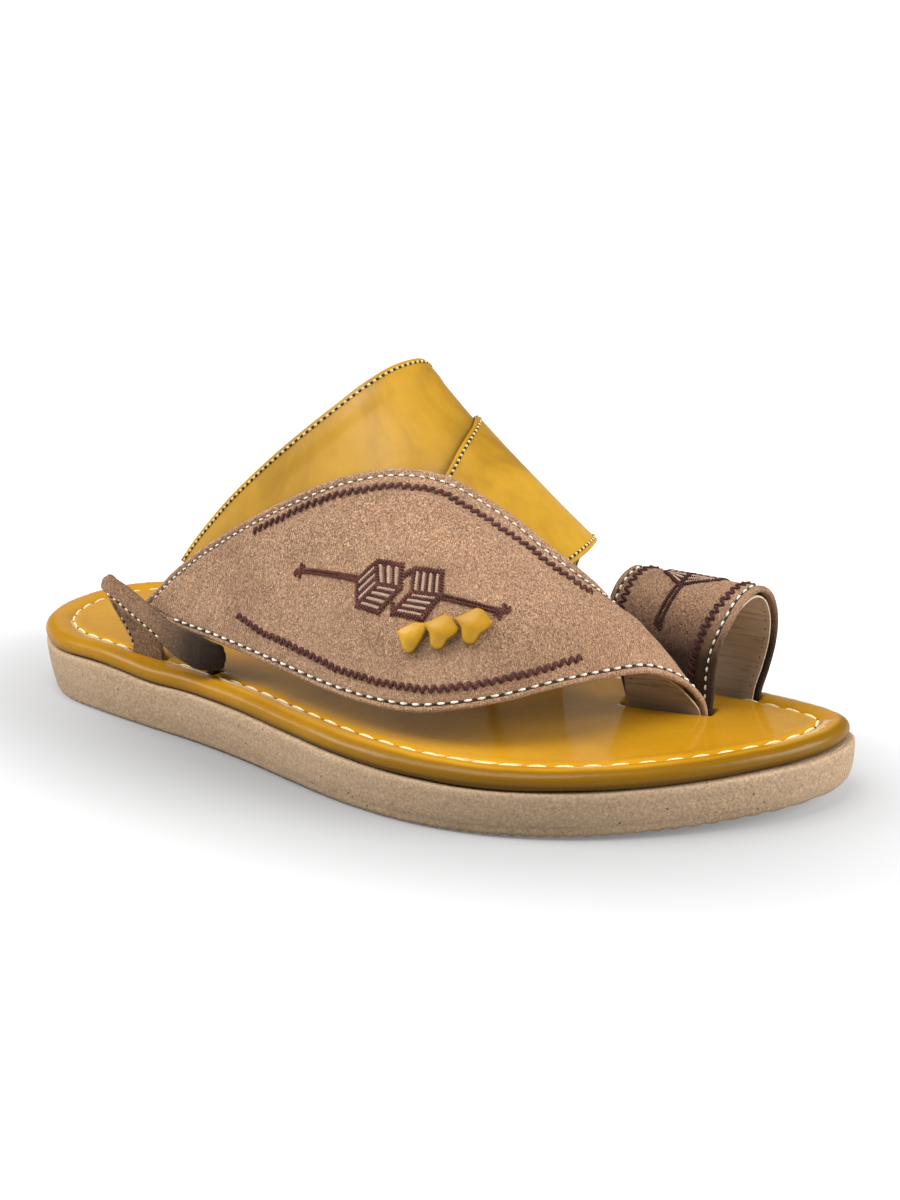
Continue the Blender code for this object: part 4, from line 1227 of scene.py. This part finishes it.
def band_shape(sheet, collar):
    long = np.linalg.norm(np.diff(sheet.g[:, sheet.cols // 2], axis=0), axis=1).sum()

    def shape(i, q, p):
        wide = sheet.wide[i]
        from_front, from_rear = q, wide - q
        lift = -0.16 * np.exp(-((from_rear - BAND_SEAM) / 0.5) ** 2)
        if not collar:
            lift = lift - 0.16 * np.exp(-((from_front - BAND_SEAM) / 0.5) ** 2)
        else:
            # turned edge along the collar, its end showing as a soft ridge
            lift = lift + 0.34 * step((9.0 - from_rear) / 2.4)
            for cs, ct, turn, reach, half, deep in BAND_CREASES:
                u, v = (i / sheet.rows - cs) * long, (q / wide - ct) * wide
                c, d = math.cos(math.radians(turn)), math.sin(math.radians(turn))
                a, b = u * c + v * d, -u * d + v * c
                lift = lift - deep * np.exp(-(a / (reach / 2)) ** 2 - (b / half) ** 2)
        soft = np.array([0.30 * wobble(x, 34.0, 7.0) + 0.07 * wobble(x, 11.0, 1.0) for x in p])
        return lift + soft * step(np.minimum(from_front, from_rear) / 5.0)
    return shape


for name, sheet, collar in (("rear_band", rear, True), ("front_band", front, False)):
    verts, faces = strap_mesh(sheet, leather_section, band_shape(sheet, collar))
    band = piece(name + "_leather", verts, faces, YELLOW)
    if collar:
        # painted shade on the rear band beside the front band's lapped edge, fading out over a few millimetres
        gap = np.full(len(verts), 1e3)
        for p in front.edge_line(True, 0.4, 0.0, 1.0)[0]:
            gap = np.minimum(gap, np.linalg.norm(verts - p, axis=1))
        burnish_and_shade(band, 0.26 * np.exp(-(gap / 9.0) ** 2) + 0.30 * np.exp(-(gap / 2.6) ** 2))
    verts, faces = strap_mesh(sheet, lambda w: leather_section(w, 1.36, 2.3, 0.35, 0.25))
    piece(name + "_lining", verts, faces, LINING_BAND)

# dark: painted shade in the needle holes between the stitches
yellow, dark = Threads(7, 8), Threads(5, 6)
for sheet, far in ((rear, True), (front, True), (front, False)):
    seam = Seam(*sheet.edge_line(far, BAND_SEAM, 0.0, 0.965))
    running(seam, yellow, 2.25, 1.2, 0.40, 0.18, 0.35, 0.12, -0.04 if sheet is front else 0.22,
            dark, 0.46)
yellow.make("band_stitches", THREAD_YELLOW)
dark.make("band_needle_hole_shade", THREAD_BLACK)


# ------------------------------------------------------------------------------ toe loop
loop = Sheet(toe_loop_grid(190, 80))


def loop_shape(i, q, p):
    wide = loop.wide[i]
    from_edge = np.minimum(q, wide - q)
    lift = (-0.34 * np.exp(-((from_edge - EDGE_SEAM) / 0.6) ** 2)
            + 0.16 * np.exp(-((from_edge - 1.1) / 0.8) ** 2))
    # fine creases across the bend of the inner leg
    fold = math.exp(-((i / loop.rows - 0.22) / 0.10) ** 2)
    lines = np.array([noise.noise(Vector((x[0] / 14.0, x[2] / 1.5, 2.0))) for x in p])
    soft = np.array([0.18 * wobble(x, 18.0, 4.0) + 0.07 * wobble(x, 6.0, 8.0) for x in p])
    return lift + (soft + 0.16 * fold * lines) * step(from_edge / 3.0)


verts, faces = strap_mesh(loop, suede_section, loop_shape)
toe_suede = piece("toe_loop_suede", verts, faces, SUEDE_LOOP)
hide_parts("toe_loop")
verts, faces = strap_mesh(loop, lining_section)
piece("toe_loop_lining", verts, faces, LINING)

# dark: painted shade in the lining's needle marks, the seam grooves and the needle holes
white, dark, brown = Threads(7, 8), Threads(5, 6), Threads(7, 8)
lining_ticks(loop, dark, 0.06, 0.94)
for far in (False, True):
    seam = Seam(*loop.edge_line(far, EDGE_SEAM, 0.07, 0.93))
    groove_shade_line(loop, dark, far, EDGE_SEAM - 0.48, 0.07, 0.93)
    running(seam, white, 3.2, 2.0, 0.34, 0.20, 0.45, 0.14, -0.14, dark, 0.25)
for table in (LOOP_ZIGZAG_FRONT, LOOP_ZIGZAG_REAR):
    zigzag(surface_seam(loop, table), brown, 2.6, 2.9, 0.56, (0.66, 0.66), (0.7, 0.7))

# ornament on the loop: mm over the loop and from its middle to the rear
LOOP_S, LOOP_T, LOOP_OVER, LOOP_BACK = 0.437, 0.519, 112.0, 44.0


def loop_chart(u, v):
    return loop.at(LOOP_S + u / LOOP_OVER, LOOP_T + v / LOOP_BACK)


LOOP_CORNERS = {
    "foot": (0.0, 0.0), "rear": (6.0, 8.6), "front": (6.6, -9.0), "core": (7.6, 1.2),
    "rear_top": (14.5, 8.0), "front_top": (15.0, -8.6), "top": (20.5, 0.4),
}
LOOP_BARS = [("foot", "rear", 1.5), ("foot", "front", 1.5), ("rear", "core", 1.3),
             ("front", "core", 1.3), ("foot", "core", 1.3), ("rear", "rear_top", 1.5),
             ("front", "front_top", 1.5), ("core", "top", 1.4), ("rear_top", "top", 1.5),
             ("front_top", "top", 1.5)]
LOOP_HATCH = [("foot", "core", "rear", "rear", 2, 0.5), ("foot", "core", "front", "front", 2, 0.5),
              ("rear", "core", "rear_top", "top", 3, 0.55),
              ("front", "core", "front_top", "top", 3, 0.55)]
LOOP_RODS = [(-14.6, 2.2, -0.4, 0.8, 1.3), (-14.6, 0.5, -0.4, -0.8, 1.3),
             (-16.0, 1.5, -13.2, 1.2, 3.8)]
plum, pale = ornament(loop_chart, LOOP_CORNERS, LOOP_BARS, LOOP_HATCH, LOOP_RODS)
plum.make("toe_loop_ornament", THREAD_DARK)
pale.make("toe_loop_ornament_pale", THREAD_PALE)
white.make("toe_loop_edge_stitches", THREAD_WHITE)
dark.make("toe_loop_groove_and_hole_shade", THREAD_SHADE)
brown.make("toe_loop_zigzag", THREAD_DARK)


# -------------------------------------------------------------------------------- keeper
def keeper_frames(steps):
    path = through([r[:3] for r in KEEPER])
    full = Curve(path.k, KEEPER)
    out = []
    for i in range(steps + 1):
        t = i / steps
        row = full(t)
        p, wide, width = np.array(row[:3]), np.array(row[3:6]), row[6]
        way = np.array(path(min(1, t + 0.01))) - np.array(path(max(0, t - 0.01)))
        way /= np.linalg.norm(way)
        wide = wide - way * wide.dot(way)
        wide /= np.linalg.norm(wide)
        out.append((p, way, wide, np.cross(way, wide), width))
    return out


def make_keeper(steps=150, around=44):
    rows = []
    for i, (p, way, wide, thin, width) in enumerate(keeper_frames(steps)):
        a = np.linspace(0, 2 * math.pi, around, endpoint=False)
        c, d = np.cos(a), np.sin(a)
        # flat strap with well rounded edges, drawn in where it turns back
        tuck = math.exp(-((p[0] - 60.5) / 5.5) ** 2 - ((p[2] - 45.5) / 5.0) ** 2)
        end = step((p[0] - 99.0) / 7.0)
        width = width * (1.0 - 0.36 * tuck)
        u = np.sign(c) * np.abs(c) ** (0.55 + 0.45 * tuck + 0.35 * end) * width / 2
        v = np.sign(d) * np.abs(d) ** (0.75 + 0.25 * tuck) * KEEPER_THICK / 2 * (1.0 + 0.45 * tuck + 0.15 * end)
        # a pressed line near each edge where the strap is sewn
        v = v - np.sign(d) * 0.28 * np.exp(-((np.abs(u) - width / 2 + 1.5) / 0.5) ** 2)
        pts = p + wide * u[:, None] + thin * v[:, None]
        soft = np.array([0.16 * wobble(x, 9.0, 2.0) + 0.06 * wobble(x, 3.0, 6.0) for x in pts])
        rows.append(pts + thin * (soft * np.sign(d))[:, None])
    return np.concatenate(rows), tube_faces(len(rows), around)


verts, faces = make_keeper()
keeper = piece("keeper_strap", verts, faces, SUEDE_KEEPER)
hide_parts("keeper")
# dark: painted shade in the needle holes between the stitches
cream, dark = Threads(7, 8), Threads(5, 6)
rows = keeper_frames(150)
pts, nrm = [], []
for p, way, wide, thin, width in rows[57:96]:
    pts.append(p - wide * (width / 2 - 1.2) + thin * (KEEPER_THICK / 2 - 0.42))
    nrm.append(thin)
running(Seam(pts, nrm), cream, 2.9, 1.5, 0.26, 0.14, 0.3, 0.1, 0.0, dark, 0.34)
# the foot of the loop is sewn down along its rear edge
pts, nrm = [], []
for p, way, wide, thin, width in rows[12:31]:
    pts.append(p - wide * (width / 2 - 1.3) - thin * (KEEPER_THICK / 2 - 0.40))
    nrm.append(-thin)
running(Seam(pts, nrm), cream, 2.6, 1.3, 0.26, 0.14, 0.3, 0.1, 0.0, dark, 0.30)
cream.make("keeper_stitches", THREAD_CREAM)
dark.make("keeper_needle_hole_shade", THREAD_BLACK)


# --------------------------------------------------------------------------------- knots
def make_knot(outline_, s, t, turn, size, around=72, levels=18):
    rows = [(a, r) for a, r in outline_]
    rows = [(a - 360.0, r) for a, r in rows[-2:]] + rows + [(a + 360.0, r) for a, r in rows[:2]]

    def reach_at(deg):
        """Straight sides between the corners of the outline."""
        k = max(i for i in range(len(rows) - 1) if rows[i][0] <= deg)
        (a0, r0), (a1, r1) = rows[k], rows[k + 1]
        s0, s1 = math.radians(deg - a0), math.radians(a1 - deg)
        return r0 * r1 * math.sin(s0 + s1) / (r0 * math.sin(s0) + r1 * math.sin(s1))
    base, n = wing.at(s, t)
    a, b = wing.at(s + 0.01, t)[0], wing.at(s - 0.01, t)[0]
    along = (a - b) / np.linalg.norm(a - b)
    up = np.cross(n, along)
    c, d = math.cos(math.radians(turn)), math.sin(math.radians(turn))
    along, up = along * c + up * d, up * c - along * d
    verts, faces = [], []
    for k in range(levels + 1):
        f = k / levels
        # tucked underside, upright side, tight shoulder, low crown
        if f < 0.25:
            share, level = 0.88 + 0.12 * math.sin(f / 0.25 * math.pi / 2), 0.1 + 1.3 * f / 0.25
        elif f < 0.6:
            g = (f - 0.25) / 0.35 * math.pi / 2
            share, level = 1.0 - 0.20 * (1 - math.cos(g)), 1.4 + 1.1 * math.sin(g)
        else:
            g = (f - 0.6) / 0.4
            share, level = max(0.04, 0.80 * (1 - g)), 2.5 + 1.15 * math.sin(g * math.pi / 2)
        for i in range(around):
            deg = 360.0 * i / around
            reach = mix(reach_at(deg), 0.5 * (reach_at(deg - 5.0) + reach_at(deg + 5.0)), 0.5) * size
            q = math.radians(deg)
            # the crown is rounder than the outline, so ridges run out to the corners
            w = min(1.0, share / 0.80)
            r = share * (reach * w + 4.0 * size * (1 - w))
            fall = (0.16 * (reach - 4.0 * size) if level > 1.4 else 0.0) * share
            verts.append(base + n * (level - fall) + along * r * math.cos(q) + up * r * math.sin(q))
    for k in range(levels):
        for i in range(around):
            j = (i + 1) % around
            faces.append((k * around + i, k * around + j, (k + 1) * around + j, (k + 1) * around + i))
    faces.append(tuple(range(around - 1, -1, -1)))
    faces.append(tuple(range(levels * around, levels * around + around)))
    return np.array(verts), faces


for i, row in enumerate(KNOTS):
    verts, faces = make_knot(KNOT_LEAF if i == 0 else KNOT_SHIELD, *row)
    knot = piece("knot_%d" % (i + 1), verts, faces, KNOT)
    # painted shade round the foot, most of all below and towards the toe
    low = step((0.66 - np.arange(19) / 18.0) / 0.30)
    turn_ = np.cos(np.radians(np.arange(72) * 5.0 - 305.0))
    burnish_and_shade(knot, np.outer(low, 0.22 + 0.68 * np.maximum(turn_, 0.0)).ravel())
    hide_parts("thong_%d" % (i + 1))


# ------------------------------------------------------------------- floor, light, camera
def make_floor():
    """Pale floor that sweeps up behind the sandal; it glows, to plain white far off, and the glow fades out
    close round the sandal, which paints a soft shadow there.
    """
    m = Nodes("floor_white")
    cloud = m.noise(3.0, 2.0, 0.5)
    away_ = m.node("ShaderNodeVectorMath", Vector=m.stretch(0.60, 1.0, 1.0))
    away_.operation = "LENGTH"
    glow = m.level(away_.outputs["Value"], 0.046, 0.175, 0.0, 1.05)
    mat = m.done(m.ramp(cloud, (0.3, (0.205, 0.205, 0.205)), (0.7, (0.211, 0.211, 0.211))), 0.8,
                 Specular_IOR_Level=0.0, Emission_Color=(1.0, 1.0, 1.0, 1.0))
    m.put(m.bsdf.inputs["Emission Strength"], glow)
    depth = [(-4.0, 0.0), (1.6, 0.0), (2.4, 0.02), (3.0, 0.07), (3.5, 0.18), (3.75, 0.30), (3.85, 0.46)]
    az = math.radians(35.61)
    away = Vector((-math.sin(az), math.cos(az), 0.0))
    side = Vector((math.cos(az), math.sin(az), 0.0))
    verts, faces = [], []
    for d, z in depth:
        for w in (-4.0, 4.0):
            verts.append(away * d + side * w + Vector((0, 0, z)))
    for i in range(len(depth) - 1):
        faces.append((2 * i, 2 * i + 1, 2 * i + 3, 2 * i + 2))
    mesh = bpy.data.meshes.new("floor")
    mesh.from_pydata(verts, [], faces)
    mesh.materials.append(mat)
    mesh.polygons.foreach_set("use_smooth", [True] * len(faces))
    obj = bpy.data.objects.new("floor", mesh)
    bpy.context.scene.collection.objects.link(obj)
    obj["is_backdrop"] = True


make_floor()


def area(name, where, target, size, power, colour=(1.0, 1.0, 1.0)):
    light = bpy.data.lights.new(name, "AREA")
    light.shape = "RECTANGLE"
    light.size, light.size_y = size
    light.energy = power
    light.color = colour
    obj = bpy.data.objects.new(name, light)
    obj.location = where
    obj.rotation_mode = "QUATERNION"
    obj.rotation_quaternion = (Vector(target) - Vector(where)).to_track_quat("-Z", "Y")
    bpy.context.scene.collection.objects.link(obj)


area("top_softbox", (-0.06, -0.38, 1.08), (0.0, 0.0, 0.02), (0.85, 0.85), 17.5)
area("left_softbox", (-0.80, -0.60, 0.75), (0.0, 0.0, 0.04), (0.60, 0.60), 15.0)
area("right_softbox", (0.98, 0.34, 0.50), (0.0, 0.0, 0.04), (0.65, 0.65), 17.0)
area("back_card", (-0.87, 1.22, 0.56), (0.0, 0.0, 0.02), (2.2, 0.9), 0.5)

world = bpy.data.worlds.new("studio")
world.use_nodes = True
world.node_tree.nodes["Background"].inputs["Color"].default_value = (1.0, 1.0, 1.0, 1.0)
world.node_tree.nodes["Background"].inputs["Strength"].default_value = 0.16
scene = bpy.context.scene
scene.world = world
scene.view_settings.view_transform = "Standard"
scene.view_settings.look = "None"

AZIMUTH, ELEVATION = math.radians(35.61), math.radians(15.64)
right = Vector((math.cos(AZIMUTH), math.sin(AZIMUTH), 0.0))
back = Vector((math.sin(AZIMUTH) * math.cos(ELEVATION),
               -math.cos(AZIMUTH) * math.cos(ELEVATION), math.sin(ELEVATION)))
up = back.cross(right)
camera = bpy.data.objects.new("camera", bpy.data.cameras.new("camera"))
camera.data.lens = 58.707
camera.data.sensor_width = 36.0
camera.data.sensor_fit = "AUTO"
camera.data.clip_start = 0.01
turn = Matrix((right, up, back)).transposed().to_4x4()
camera.matrix_world = Matrix.Translation((0.3667, -0.4772, 0.2143)) @ turn
scene.collection.objects.link(camera)
scene.camera = camera

low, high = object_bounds()
